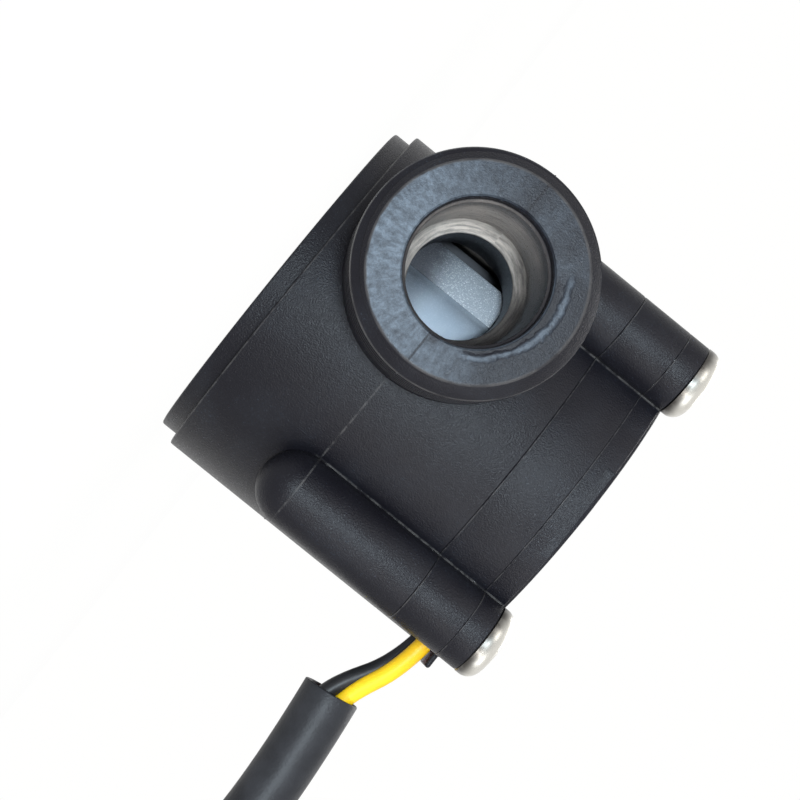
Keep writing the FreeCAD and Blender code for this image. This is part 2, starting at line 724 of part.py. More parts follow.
def rounded_path(points, name):
    """A wire of straight runs and tangent arcs through a route, each arc as large as its runs allow."""
    points = [Vector(*p) for p in points]
    edges, start, radii = [], points[0], []
    for before, here, after in zip(points, points[1:], points[2:]):
        back, on = (before - here), (after - here)
        shorter = min(back.Length, on.Length)
        back.normalize()
        on.normalize()
        half_turn = (math.pi - back.getAngle(on)) / 2
        reach = 0.45 * shorter
        radii.append(reach / math.tan(half_turn))
        first, last = here + back * reach, here + on * reach
        middle_way = (back + on).normalize()
        centre = here + middle_way * math.hypot(reach, radii[-1])
        middle = centre - middle_way * radii[-1]
        edges.append(Part.LineSegment(start, first).toShape())
        edges.append(Part.Arc(first, middle, last).toShape())
        start = last
    edges.append(Part.LineSegment(start, points[-1]).toShape())
    path = Part.Wire(edges)
    print(f"{name}: length {path.Length:.1f}, smallest radius {min(radii):.1f}, radii",
          " ".join(f"{r:.1f}" for r in radii))
    return path


def swept(path, radius):
    """A round solid along a path."""
    start = path.Edges[0]
    direction = start.tangentAt(start.FirstParameter)
    circle = Part.Wire(Part.Circle(path.Edges[0].Vertexes[0].Point, direction, radius).toShape())
    return path.makePipeShell([circle], True, False)


def compare_volume(name, shape, area, length):
    """Prints how far a tube's volume is from its section times its length."""
    print(f"{name}: volume {shape.Volume:.1f}, section times length {area * length:.1f}")


def make_sleeve():
    """The shrink sleeve round the three wires."""
    path = rounded_path(SLEEVE_ROUTE, "lead_sleeve")
    inner = sleeve_bore()
    outer = inner + size("sleeve_wall")
    shape = swept(path, outer).cut(swept(path, inner))
    compare_volume("lead_sleeve", shape, math.pi * (outer**2 - inner**2), path.Length)
    sleeve = doc.addObject("Part::Feature", "lead_sleeve")
    sleeve.Shape = shape
    sleeve.Placement = Placement()
    return piece(sleeve, "lead_sleeve")


def beside(points, side, up):
    """A route kept to one side of and above another, by its own left and up directions."""
    points = [Vector(*p) for p in points]
    moved = []
    for i, here in enumerate(points):
        back = here - points[i - 1] if i else points[1] - here
        on = points[i + 1] - here if i + 1 < len(points) else back
        heading = (back.normalize() + on.normalize()).normalize()
        left = Vector(0, 0, 1).cross(heading).normalize()
        above = heading.cross(left).normalize()
        moved.append(tuple(here + left * side + above * up))
    return moved


def connector_point(x, y, z=0.0):
    """A point in the connector's own frame, in which +X runs out of its mating end."""
    frame = Placement(Vector(*CONNECTOR_PLACE), Rotation(Vector(0, 0, 1), CONNECTOR_YAW))
    return tuple(frame.multVec(Vector(x, y, z)))


def wire_route(step, drop, angle):
    """From the board up to the slot, out to the sleeve, through it, and to the connector."""
    x = size("wire_place") + step * wire_pitch()
    board_z = total("floor_thickness", "chamber_height", "plug_floor", "post_height", "board_thickness",
                    "wire_radius", "hall_lift")
    level = total("floor_thickness", "chamber_height", "plug_depth", "cover_thickness", "wire_rise")
    level -= drop * size("middle_wire_drop")
    inside = [(x, 3.2, board_z), (x, -3.2, board_z), (x, -8.3, level), (x, -20.3, level)]
    side = bundle_radius() * math.cos(math.radians(angle))
    up = bundle_radius() * math.sin(math.radians(angle))
    through = beside(SLEEVE_ROUTE + TAIL_ROUTE, side, up)
    across = step * size("plug_pitch")
    end = connector_point(size("terminal_start") - size("wire_end_gap"), across)
    behind = connector_point(-size("wire_lead_in"), across)
    return inside + through + [behind, end]


def make_wires():
    """The three wires, whole from the board to the connector."""
    radius = size("wire_radius")
    for name, (step, drop, angle) in WIRES.items():
        path = rounded_path(wire_route(step, drop, angle), name)
        wire = doc.addObject("Part::Feature", name)
        wire.Shape = swept(path, radius)
        wire.Placement = Placement()
        compare_volume(name, wire.Shape, math.pi * radius**2, path.Length)
        piece(wire, name)


def connector_placement():
    return Placement(Vector(*CONNECTOR_PLACE), Rotation(Vector(0, 0, 1), CONNECTOR_YAW))


def make_connector():
    """The three-way plug on the lead's end, and a contact in each of its ways."""
    shell = box("plug_shell", "plug_length", "plug_width", "plug_thickness",
                "0", "-plug_width / 2", "-plug_thickness / 2")
    ribs = [
        box(f"plug_rib_{i}", "rib_length", "rib_width", "rib_height + 0.5",
            "plug_length - rib_length", f"{side} * plug_pitch - rib_width / 2", "plug_thickness / 2 - 0.5")
        for i, side in enumerate((-1, 1))
    ]
    cavities, windows = [], []
    for i, step in enumerate((-1, 0, 1)):
        y = f"{step} * plug_pitch"
        cavities.append(box(f"cavity_{i}", "plug_length - cavity_front_wall", "cavity_width",
                            "cavity_width", "0", f"{y} - cavity_width / 2", "-cavity_width / 2"))
        windows.append(box(f"window_{i}", "plug_length + 1", "window_width", "window_width",
                           "0", f"{y} - window_width / 2", "-window_width / 2"))
    housing = cut("connector_housing", fuse("plug_outside", shell, *ribs), *cavities, *windows)
    housing.Placement = connector_placement()
    piece(housing, "connector_housing")
    for i, (step, colour) in enumerate(zip((-1, 0, 1), ("yellow", "black", "red"))):
        y = f"{step} * plug_pitch"
        length = "plug_length - cavity_front_wall - terminal_front_gap - terminal_start"
        outside = box(f"terminal_outside_{i}", length, "terminal_width", "terminal_width",
                      "terminal_start", f"{y} - terminal_width / 2", "-terminal_width / 2")
        inner = "(terminal_width - 2 * terminal_wall)"
        inside = box(f"terminal_inside_{i}", f"{length}", inner, inner,
                     "terminal_start + terminal_wall", f"{y} - {inner} / 2", f"-{inner} / 2")
        terminal = cut(f"terminal_{colour}", outside, inside)
        terminal.Placement = connector_placement()
        piece(terminal, f"terminal_{colour}")


def check_pieces():
    """Stops if an object has failed or a piece's shape isn't one valid solid."""
    failed = [o.Name for o in doc.Objects if {"Invalid", "Error"} & set(o.State)]
    if failed:
        raise SystemExit(f"these objects failed: {failed}")
    for obj in PIECES:
        if obj.Shape.isNull() or not obj.Shape.isValid():
            raise SystemExit(f"{obj.Label} has no valid shape")
        if len(obj.Shape.Solids) != 1:
            raise SystemExit(f"{obj.Label} has {len(obj.Shape.Solids)} solids")


def write_pieces():
    """Writes each piece's solid to a file of its own."""
    os.makedirs("parts", exist_ok=True)
    for obj in PIECES:
        obj.Shape.exportStep(f"parts/{obj.Label}.step")
        low, high = obj.Shape.BoundBox, obj.Shape.Volume
        print(f"{obj.Label}: {low.XLength:.2f} x {low.YLength:.2f} x {low.ZLength:.2f}, volume {high:.1f}")


make_housing_body()
make_cover()
make_cover_seal()
make_cap_plate()
make_screws()
make_turbine_wheel()
make_magnets()
make_shaft_and_washers()
make_board()
make_hall_switch()
make_chip("board_capacitor", "capacitor_thickness", "board_width / 4")
make_chip("board_resistor", "resistor_thickness", "-board_width / 4")
make_wires()
make_sleeve()
make_connector()
doc.recompute()
check_pieces()
write_pieces()
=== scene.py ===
import logging
import math
from dataclasses import dataclass, field
from enum import Enum
from typing import Iterable, Sequence

import bpy
from mathutils import Matrix, Vector


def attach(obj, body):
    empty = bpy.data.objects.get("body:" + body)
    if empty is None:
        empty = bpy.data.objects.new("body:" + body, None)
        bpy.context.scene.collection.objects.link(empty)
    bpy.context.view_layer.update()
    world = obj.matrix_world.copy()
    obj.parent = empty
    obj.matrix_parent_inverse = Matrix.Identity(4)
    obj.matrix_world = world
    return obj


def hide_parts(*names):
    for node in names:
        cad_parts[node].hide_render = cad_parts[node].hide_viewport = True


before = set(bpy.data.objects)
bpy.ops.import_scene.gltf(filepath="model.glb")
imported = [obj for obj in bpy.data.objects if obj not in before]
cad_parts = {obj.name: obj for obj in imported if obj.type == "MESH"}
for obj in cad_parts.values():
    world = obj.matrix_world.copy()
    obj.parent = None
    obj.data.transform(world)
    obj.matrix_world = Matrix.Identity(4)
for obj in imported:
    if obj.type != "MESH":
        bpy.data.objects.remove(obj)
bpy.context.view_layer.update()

MM = 0.001
DOUBLES = 0.002 * MM
log = logging.getLogger("flow_sensor")

# shared sizes in millimetres

BODY_RADIUS = 18.5
BOSS_RADIUS = 3.5
BOSS_PLACE = 14.7
BOSSES = tuple((x * BOSS_PLACE, y * BOSS_PLACE) for y in (-1, 1) for x in (-1, 1))
SCREW_HOLE = 1.87
PIPE_Y = 8.3
PIPE_Z = 13.2

Point = tuple[float, float, float]
Colour = tuple[float, float, float]
Profile = Sequence[tuple[float, float]]
Stops = tuple[tuple[float, float], ...]
Span = tuple[float, ...]
Piece = bpy.types.Object
Socket = bpy.types.NodeSocket


class Join(Enum):
    """How one solid works on another."""

    ADD = "UNION"
    CUT = "DIFFERENCE"


class Body(Enum):
    """The bodies that pieces ride on."""

    HOUSING = "housing"
    ROTOR = "rotor"


# modelling helpers

def clear_selection() -> None:
    """Leave edit mode and deselect everything."""
    if bpy.context.object and bpy.context.object.mode != "OBJECT":
        bpy.ops.object.mode_set(mode="OBJECT")
    bpy.ops.object.select_all(action="DESELECT")


def pick(*pieces: Piece) -> None:
    """Select only these pieces, the first one active.

    Args:
        pieces: The objects that the next operators act on.
    """
    clear_selection()
    for piece in pieces:
        piece.select_set(True)
    bpy.context.view_layer.objects.active = pieces[0]


def settle(piece: Piece) -> None:
    """Apply a piece's place, turn and scale to its mesh."""
    pick(piece)
    bpy.ops.object.transform_apply(location=True, rotation=True, scale=True)


def open_all(piece: Piece) -> None:
    """Open a piece in edit mode with all of it selected.

    Args:
        piece: The piece to edit.
    """
    pick(piece)
    bpy.ops.object.mode_set(mode="EDIT")
    bpy.ops.mesh.select_all(action="SELECT")


def close_outwards() -> None:
    """Turn the faces of the open piece outwards and leave edit mode."""
    bpy.ops.mesh.select_all(action="SELECT")
    bpy.ops.mesh.normals_make_consistent(inside=False)
    bpy.ops.object.mode_set(mode="OBJECT")


def placed(piece: Piece, place: Point, turn: Point = (0, 0, 0)) -> Piece:
    """Turn a piece about the origin and move it, in its mesh.

    Args:
        piece: The piece, made at the origin.
        place: Where its origin goes, in millimetres.
        turn: Its Euler turn in degrees.

    Returns:
        The same piece.
    """
    piece.rotation_euler = [math.radians(angle) for angle in turn]
    piece.location = [value * MM for value in place]
    settle(piece)
    return piece


def eased(corners: Sequence[Point], steps: int = 3) -> list[tuple[float, float]]:
    """Round the corners of a profile.

    Args:
        corners: Radius, height and ease of each corner, in millimetres.
        steps: Runs that make up one rounded corner.

    Returns:
        The profile's points as radius and height.
    """
    points: list[tuple[float, float]] = []
    for index, (radius, height, ease) in enumerate(corners):
        if not ease or index in (0, len(corners) - 1):
            points.append((radius, height))
            continue
        here = Vector((radius, height))
        before = Vector(corners[index - 1][:2])
        after = Vector(corners[index + 1][:2])
        start = here + (before - here).normalized() * ease
        end = here + (after - here).normalized() * ease
        for step in range(steps + 1):
            part = step / steps
            spot = start * (1 - part) ** 2 + here * 2 * part * (1 - part) + end * part ** 2
            points.append((spot.x, spot.y))
    return points


def turned(name: str, profile: Profile, sides: int = 128) -> Piece:
    """Turn a closed solid about Z, ring by ring, hollows included.

    Args:
        name: The piece's name.
        profile: Radius and height of each ring in millimetres, from the first flat end to the last.
        sides: Faces round the solid.

    Returns:
        The solid, with its axis on Z.
    """
    clear_selection()
    radius, height = profile[0]
    bpy.ops.mesh.primitive_circle_add(vertices=sides, radius=radius * MM, fill_type="NGON",
                                      location=(0, 0, height * MM))
    piece = bpy.context.object
    piece.name = name
    settle(piece)
    bpy.ops.object.mode_set(mode="EDIT")
    bpy.ops.mesh.select_mode(type="FACE")
    bpy.ops.mesh.select_all(action="SELECT")
    for next_radius, next_height in profile[1:]:
        rise = (next_height - height) * MM
        bpy.ops.mesh.extrude_region_move(TRANSFORM_OT_translate={"value": (0, 0, rise)})
        grow = next_radius / radius
        bpy.ops.transform.resize(value=(grow, grow, 1), center_override=(0, 0, 0))
        radius, height = next_radius, next_height
    close_outwards()
    return piece


def block(name: str, low: Point, high: Point, bevel: float = 0.0) -> Piece:
    """Make a block with eased edges.

    Args:
        name: The piece's name.
        low: Its lowest corner in millimetres.
        high: Its highest corner in millimetres.
        bevel: Width of the ease on its edges in millimetres.

    Returns:
        The block, with its place in its mesh.
    """
    clear_selection()
    bpy.ops.mesh.primitive_cube_add(size=1)
    piece = bpy.context.object
    piece.name = name
    piece.scale = [(b - a) * MM for a, b in zip(low, high)]
    piece.location = [(a + b) / 2 * MM for a, b in zip(low, high)]
    settle(piece)
    if bevel:
        open_all(piece)
        bpy.ops.mesh.bevel(offset=bevel * MM, segments=3, affect="EDGES")
        bpy.ops.object.mode_set(mode="OBJECT")
    return piece


def modified(piece: Piece, kind: str, **settings: object) -> Piece:
    """Put a modifier on a piece and apply it.

    Args:
        piece: The piece.
        kind: The modifier's type.
        settings: Its properties by name.

    Returns:
        The same piece.
    """
    pick(piece)
    modifier = piece.modifiers.new(kind.lower(), kind)
    for key, value in settings.items():
        setattr(modifier, key, value)
    bpy.ops.object.modifier_apply(modifier=modifier.name)
    return piece


def joined(target: Piece, tools: Iterable[Piece], how: Join) -> Piece:
    """Add or cut solids, one after the other, and use them up.

    Args:
        target: The solid that stays.
        tools: The solids that work on it.
        how: Whether they are added or cut out.

    Returns:
        The target.
    """
    for tool in tools:
        modified(target, "BOOLEAN", object=tool, operation=how.value, solver="EXACT")
        bpy.data.objects.remove(tool, do_unlink=True)
    return target


def copied(piece: Piece, name: str) -> Piece:
    """Copy a piece with a mesh of its own.

    Args:
        piece: The piece to copy.
        name: The copy's name.

    Returns:
        The copy.
    """
    pick(piece)
    bpy.ops.object.duplicate(linked=False)
    copy = bpy.context.object
    copy.name = name
    return copy


def smoothed(piece: Piece, degrees: float = 32.0) -> Piece:
    """Shade a piece smooth up to an angle between its faces.

    Args:
        piece: The piece.
        degrees: Widest angle that is shaded smooth.

    Returns:
        The same piece.
    """
    pick(piece)
    bpy.ops.object.shade_smooth_by_angle(angle=math.radians(degrees))
    return piece


def beveled(piece: Piece, width: float, degrees: float = 40.0) -> Piece:
    """Ease a piece's sharp edges with an applied bevel.

    Args:
        piece: The piece.
        width: Width of the ease in millimetres.
        degrees: Sharpest angle that is left alone.

    Returns:
        The same piece.
    """
    return modified(piece, "BEVEL", width=width * MM, segments=2, limit_method="ANGLE",
                    angle_limit=math.radians(degrees))


def cleaned(piece: Piece) -> Piece:
    """Merge a piece's doubles and join its flat triangles.

    Args:
        piece: The piece.

    Returns:
        The same piece.
    """
    open_all(piece)
    bpy.ops.mesh.remove_doubles(threshold=DOUBLES)
    bpy.ops.mesh.dissolve_limited(angle_limit=math.radians(1))
    close_outwards()
    return piece


# materials

def metres(lengths: Span) -> list[float]:
    """Turn lengths in millimetres into metres."""
    return [length * MM for length in lengths]


class Nodes:
    """A material's nodes, grown one at a time."""

    def __init__(self, name: str) -> None:
        """Start a material with its shader.

        Args:
            name: The material's name.
        """
        self.material = bpy.data.materials.new(name)
        self.material.use_nodes = True
        self.tree = self.material.node_tree
        self.shader = self.tree.nodes["Principled BSDF"]
        self.place = self.add("ShaderNodeTexCoord").outputs["Object"]

    def add(self, kind: str, inputs: dict | None = None, **values: object) -> bpy.types.Node:
        """Add a node, set its properties and feed its sockets.

        Args:
            kind: The node's type.
            inputs: Value or output for each socket, by name or number.
            values: Its properties by name.

        Returns:
            The node.
        """
        node = self.tree.nodes.new(kind)
        for key, value in values.items():
            setattr(node, key, value)
        for key, value in (inputs or {}).items():
            self.feed(node.inputs[key], value)
        return node

    def feed(self, socket: Socket, value: object) -> None:
        """Link an output to a socket, or set a plain value on it.

        Args:
            socket: The socket to set.
            value: An output, a number or a colour.
        """
        if isinstance(value, Socket):
            self.tree.links.new(value, socket)
        elif isinstance(value, tuple) and socket.type == "RGBA":
            socket.default_value = (*value, 1) if len(value) == 3 else value
        else:
            socket.default_value = value

    def math(self, operation: str, *terms: object, clamp: bool = False) -> Socket:
        """Work out one number from others.

        Args:
            operation: The sum that the node does.
            terms: Outputs or numbers.
            clamp: Whether the result stays within 0 and 1.

        Returns:
            The result.
        """
        return self.add("ShaderNodeMath", dict(enumerate(terms)), operation=operation,
                        use_clamp=clamp).outputs[0]

    def times(self, first: object, *others: object) -> Socket:
        """Multiply values, one after the other.

        Args:
            first: The value to start from.
            others: What it is multiplied by.

        Returns:
            The product.
        """
        for other in others:
            first = self.math("MULTIPLY", first, other)
        return first

    def plus(self, first: object, *others: object) -> Socket:
        """Add values, one after the other.

        Args:
            first: The value to start from.
            others: What is added to it.

        Returns:
            The sum.
        """
        for other in others:
            first = self.math("ADD", first, other)
        return first

    def less(self, first: object, second: object) -> Socket:
        """Take the second value from the first."""
        return self.math("SUBTRACT", first, second)

    def off(self, first: object, second: object) -> Socket:
        """How far apart two values are."""
        return self.math("ABSOLUTE", self.less(first, second))

    def noise(self, size: float, detail: float = 2.0, rough: float = 0.5,
              stretch: Point = (1, 1, 1)) -> Socket:
        """A noise whose spots have a real size.

        Args:
            size: Size of its spots in millimetres.
            detail: How many finer layers it has.
            rough: How strong the finer layers are.
            stretch: How much denser it is along each axis.

        Returns:
            The noise, from 0 to 1.
        """
        mapping = self.add("ShaderNodeMapping", {"Vector": self.place, "Scale": stretch})
        return self.add("ShaderNodeTexNoise", {"Vector": mapping.outputs[0], "Scale": 1 / (size * MM),
                                               "Detail": detail, "Roughness": rough}).outputs["Fac"]

    def streaks(self, first: object, first_scale: float, second: object, second_scale: float) -> Socket:
        """A noise drawn out along two of a surface's own directions.

        Args:
            first: Place along the first direction.
            first_scale: How dense it is along the first.
            second: Place along the second direction.
            second_scale: How dense it is along the second.

        Returns:
            The noise, from 0 to 1.
        """
        spot = self.add("ShaderNodeCombineXYZ", {0: self.times(first, first_scale),
                                                 1: self.times(second, second_scale)})
        return self.add("ShaderNodeTexNoise", {"Vector": spot.outputs[0], "Scale": 1.0, "Detail": 4.0,
                                               "Roughness": 0.65}).outputs["Fac"]

    def step(self, value: object, low: float, high: float, start: float = 0.0,
             end: float = 1.0) -> Socket:
        """Map a value smoothly from one range to another.

        Args:
            value: The value to map.
            low: Where the rise starts.
            high: Where it ends.
            start: Result at the low end.
            end: Result at the high end.

        Returns:
            The mapped value.
        """
        return self.add("ShaderNodeMapRange", dict(enumerate((value, low, high, start, end))),
                        interpolation_type="SMOOTHSTEP").outputs[0]

    def band(self, value: object, low: float, full: float, fall: float, end: float) -> Socket:
        """1 between two bounds and 0 beyond them.

        Args:
            value: The value to test.
            low: Where the rise starts.
            full: Where it ends.
            fall: Where the fall starts.
            end: Where it ends.

        Returns:
            The share, from 0 to 1.
        """
        return self.times(self.step(value, low, full), self.step(value, fall, end, 1, 0))

    def blend(self, factor: object, first: object, second: object) -> Socket:
        """Mix two colours.

        Args:
            factor: How much of the second shows.
            first: The colour at 0.
            second: The colour at 1.

        Returns:
            The mixed colour.
        """
        return self.add("ShaderNodeMix", {"Factor": factor, "A": first, "B": second},
                        data_type="RGBA").outputs["Result"]

    def axes(self) -> tuple[Socket, ...]:
        """The place on the piece as three separate lengths in metres."""
        return tuple(self.add("ShaderNodeSeparateXYZ", {0: self.place}).outputs)

    def distance(self, first: object, first_at: float, second: object,
                 second_at: float) -> Socket:
        """Distance from an axis that runs through two coordinates, in metres."""
        a, b = self.less(first, first_at), self.less(second, second_at)
        return self.math("SQRT", self.plus(self.times(a, a), self.times(b, b)))

    def bump(self, height: object, depth: float, before: object = None) -> Socket:
        """Raise a surface by a height field.

        Args:
            height: The field, from 0 to 1.
            depth: How deep it is in millimetres.
            before: A bump that this one is added to.

        Returns:
            The bent normal.
        """
        inputs = {"Strength": 1.0, "Distance": depth * MM, "Height": height}
        if before is not None:
            inputs["Normal"] = before
        return self.add("ShaderNodeBump", inputs).outputs["Normal"]

    def finish(self, **sockets: object) -> bpy.types.Material:
        """Set or link the shader's sockets by name.

        Args:
            sockets: Value or output for each socket, with _ for a blank.

        Returns:
            The material.
        """
        for key, value in sockets.items():
            self.feed(self.shader.inputs[key.replace("_", " ")], value)
        return self.material


@dataclass
class BlackNylon:
    """Near-black glass-filled nylon with a fine speckled grain, worn at ports, edges and seams, with painted
    light: glints in the speckle, highlights on edges and crests, a paler side on the port faces and a lit
    side in the bore.
    """

    name: str = "black_nylon"
    base: Colour = (0.0060, 0.0056, 0.0080)
    pale: Colour = (0.0088, 0.0088, 0.0118)
    # Colour of the flecks, which are partly grain and partly painted glints.
    fleck_and_glint: Colour = (0.040, 0.050, 0.064)
    # Pale face colour, partly scuff and partly painted light.
    scuff_and_light: Colour = (0.165, 0.203, 0.248)
    # Pale colour of edge wear and of painted edge highlights.
    line: Colour = (0.090, 0.085, 0.083)
    # Colour of the bore's scale and of the painted light on it.
    taupe: Colour = (0.880, 0.780, 0.700)
    roughness: float = 0.36
    gloss: float = 0.150
    grain: float = 0.15
    face_start: float = 31.0
    face_end: float = 31.22
    face_edge: float = 9.25
    crest_out: float = 10.46
    crest_along: Span = (29.2, 29.7)
    crest_half: Span = (0.03, 0.12)
    corner_half: Span = (0.08, 0.22)
    bore: Span = (4.4, 4.7, 6.05, 6.2)
    inner_lip: Span = (6.45, 6.75)
    bright_lip: Span = (6.1, 6.25, 6.3, 6.45)
    groove: Span = (6.3, 6.5, 6.7, 7.0)
    ridge_out: float = 7.95
    ridge_drift: float = 2.5
    ridge_wander: float = 1.1
    ridge_half: Span = (0.10, 0.46)
    ridge_turn: Span = (0.135, 0.175, 0.40, 0.445)
    nick_turn: float = 0.487
    nick_out: float = 6.5
    nick_stretch: float = 22.0
    face_seam: Span = (0.04, 0.16)
    body_seam: Span = (0.05, 0.12)
    seam_end: Span = (18.7, 19.0)
    boss_edge: Span = (12.3, 13.2)
    scale_start: Span = (15.5, 15.8)
    scale_thick: Span = (15.8, 17.6)
    scale_thin: Span = (24.0, 29.2)
    wet_start: Span = (2.0, 3.0)
    pipe_y: float = PIPE_Y
    pipe_z: float = PIPE_Z
    radius: float = BODY_RADIUS
    boss: float = BOSS_RADIUS
    boss_place: float = BOSS_PLACE
    edges: Stops = ((1.84, 0.07), (26.77, 0.06), (31.95, 0.05))
    # Painted light: paleness of the port faces round the pipe, higher on one side, on top of their scuffs.
    on_turn: Stops = (
        (0.0, 0.04), (0.04, 0.10), (0.097, 0.05), (0.135, 0.09), (0.17, 0.03), (0.38, 0.03), (0.43, 0.18),
        (0.49, 0.28), (0.52, 0.32), (0.60, 0.38), (0.70, 0.42), (0.80, 0.36), (0.87, 0.24), (0.95, 0.12),
        (1.0, 0.04))
    # Painted light: the scale's strength round the bore, high on the lit side of the wall and low on the
    # shaded one.
    in_bore: Stops = (
        (0.0, 0.62), (0.08, 0.42), (0.14, 0.30), (0.22, 0.12), (0.38, 0.06), (0.50, 0.16), (0.66, 0.26),
        (0.77, 0.66), (0.88, 0.80), (1.0, 0.62))

    nodes: Nodes = field(init=False)

    def set_out(self) -> None:
        """Start the nodes and the directions that the wear follows, in metres and shares of a turn."""
        nodes = self.nodes = Nodes(self.name)
        self.x, self.y, self.z = nodes.axes()
        self.across = nodes.math("ABSOLUTE", self.x)
        self.inlet = nodes.times(self.x, -1.0)
        self.out = nodes.distance(self.y, self.pipe_y * MM, self.z, self.pipe_z * MM)
        angle = nodes.math("ARCTAN2", nodes.less(self.z, self.pipe_z * MM),
                           nodes.less(self.y, self.pipe_y * MM))
        self.turn = nodes.math("FRACT", nodes.math("DIVIDE", angle, math.tau))
        self.from_seam = nodes.off(self.z, self.pipe_z * MM)
        self.inside = nodes.band(self.out, *metres(self.bore))

    def around(self, stops: Stops) -> Socket:
        """A value that changes with the place round the pipe.

        Args:
            stops: Shares of a turn, from +Y towards +Z, with their values.

        Returns:
            The value, from 0 to 1.
        """
        ramp = self.nodes.add("ShaderNodeValToRGB", {0: self.turn})
        ramp.color_ramp.interpolation = "EASE"
        elements = ramp.color_ramp.elements
        while len(elements) < len(stops):
            elements.new(0.5)
        for element, (place, value) in zip(elements, stops):
            element.position = place
            element.color = (value, value, value, 1)
        return ramp.outputs[0]

    def on_face(self) -> Socket:
        """Where the flat port faces are, ragged at their inner lip.

        Returns:
            The share, from 0 to 1.
        """
        nodes = self.nodes
        shown = nodes.step(self.across, self.face_start * MM, (self.face_start + 0.1) * MM)
        rim = nodes.plus(self.out, nodes.times(nodes.noise(1.4, 2), 0.0003))
        shown = nodes.times(shown, nodes.step(rim, self.face_edge * MM, (self.face_edge + 0.18) * MM, 1, 0))
        ragged = nodes.plus(self.out, nodes.times(nodes.noise(0.8, 3, 0.7), 0.0010))
        return nodes.times(shown, nodes.step(ragged, *metres(self.inner_lip), 0.10, 1))

    def face(self) -> tuple[Socket, Socket]:
        """The worn port face, with its ridge, lip, groove and nick, and painted light: one side of the face
        is paler, and the ridge has a painted highlight.

        Returns:
            How pale it is and how high its ridge stands, each from 0 to 1.
        """
        nodes, turn, out = self.nodes, self.turn, self.out
        blotch = nodes.step(nodes.noise(0.8, 5, 0.8), 0.30, 0.70, 0.55, 1.4)
        fine = nodes.step(nodes.streaks(turn, 110.0, out, 700.0), 0.30, 0.70, 0.70, 1.3)
        pale = nodes.times(self.around(self.on_turn), blotch, fine)
        window = nodes.band(turn, *self.ridge_turn)
        wander = nodes.times(nodes.less(nodes.noise(1.8, 3, 0.6), 0.5), self.ridge_wander * MM)
        middle = nodes.less(self.ridge_out * MM, nodes.times(turn, self.ridge_drift * MM))
        away = nodes.off(out, nodes.plus(middle, wander))
        ridge = nodes.times(nodes.step(away, *metres(self.ridge_half), 1, 0), window)
        # Painted highlight: the raised ridge is paler where it stands up.
        lit = nodes.times(ridge, nodes.step(blotch, 0.35, 1.3, 0.08, 0.28))
        pale = nodes.math("ADD", pale, lit, clamp=True)
        lip = nodes.band(out, *metres(self.bright_lip))
        pale = nodes.plus(pale, nodes.times(lip, window, 0.22))
        groove = nodes.times(nodes.band(out, *metres(self.groove)), window)
        pale = nodes.times(pale, nodes.step(groove, 0, 1, 1, 0.15))
        seam = nodes.step(self.from_seam, *metres(self.face_seam), 0.15, 1)
        nick = nodes.distance(turn, self.nick_turn, nodes.times(out, self.nick_stretch),
                              self.nick_stretch * self.nick_out * MM)
        return nodes.times(pale, nodes.step(nick, 0.006, 0.014, 0.2, 1), seam), ridge

    def crests(self) -> Socket:
        """The pale rims of the thread's end and the port face, partly wear and partly painted highlights.

        Returns:
            The share, from 0 to 1.
        """
        nodes = self.nodes
        away = nodes.off(self.out, self.crest_out * MM)
        crest = nodes.times(nodes.step(away, *metres(self.crest_half), 0.7, 0),
                            nodes.step(self.across, *metres(self.crest_along)))
        corner = nodes.distance(self.out, self.face_edge * MM, self.across, self.face_end * MM)
        crest = nodes.math("MAXIMUM", crest, nodes.step(corner, *metres(self.corner_half), 0.5, 0))
        return nodes.times(crest, nodes.step(nodes.noise(2.2, 2), 0.3, 0.6, 0.3, 0.9))

    def outer_lines(self) -> Socket:
        """The pale lines along seam, rims and boss corners, partly wear and partly painted highlights.

        Returns:
            The share, from 0 to 1.
        """
        nodes = self.nodes
        far = nodes.distance(self.x, 0, self.y, 0)
        outside = nodes.step(far, (self.radius - 1.2) * MM, (self.radius - 1.0) * MM)
        shown = nodes.times(nodes.step(self.from_seam, *metres(self.body_seam), 1, 0),
                            nodes.step(self.across, *metres(self.seam_end), 0.5, 0))
        for level, half in self.edges:
            edge = nodes.step(nodes.off(self.z, level * MM), half * 0.5 * MM, half * 1.4 * MM, 0.42, 0)
            shown = nodes.math("MAXIMUM", shown, edge)
        from_boss = nodes.distance(self.across, self.boss_place * MM,
                                   nodes.math("ABSOLUTE", self.y), self.boss_place * MM)
        corner = nodes.math("MAXIMUM", nodes.off(from_boss, self.boss * MM), nodes.off(far, self.radius * MM))
        corner = nodes.times(nodes.step(corner, *metres(self.corner_half), 0.9, 0),
                             nodes.step(self.z, *metres(self.boss_edge)))
        broken = nodes.step(nodes.noise(0.9, 3, 0.75), 0.38, 0.60, 0.15, 1)
        return nodes.times(nodes.math("MAXIMUM", shown, corner), outside, broken)

    def limescale_and_light(self) -> Socket:
        """The dried scale on the inlet's bore, thickest at its cone, with painted light: its strength round
        the bore follows where light falls on the wall.

        Returns:
            The share, from 0 to 1.
        """
        nodes, inlet = self.nodes, self.inlet
        flow = nodes.step(nodes.streaks(self.turn, 16.0, inlet, 2600.0), 0.3, 0.7, 0.5, 1.2)
        length = nodes.plus(nodes.step(inlet, *metres(self.scale_thick), 1.35, 0.62),
                            nodes.step(inlet, *metres(self.scale_thin), 0, -0.50))
        deep = nodes.times(self.inside, nodes.step(inlet, *metres(self.scale_start)))
        # The ramp round the bore paints light on the scale.
        return nodes.math("MULTIPLY", deep, nodes.times(self.around(self.in_bore), flow, length), clamp=True)

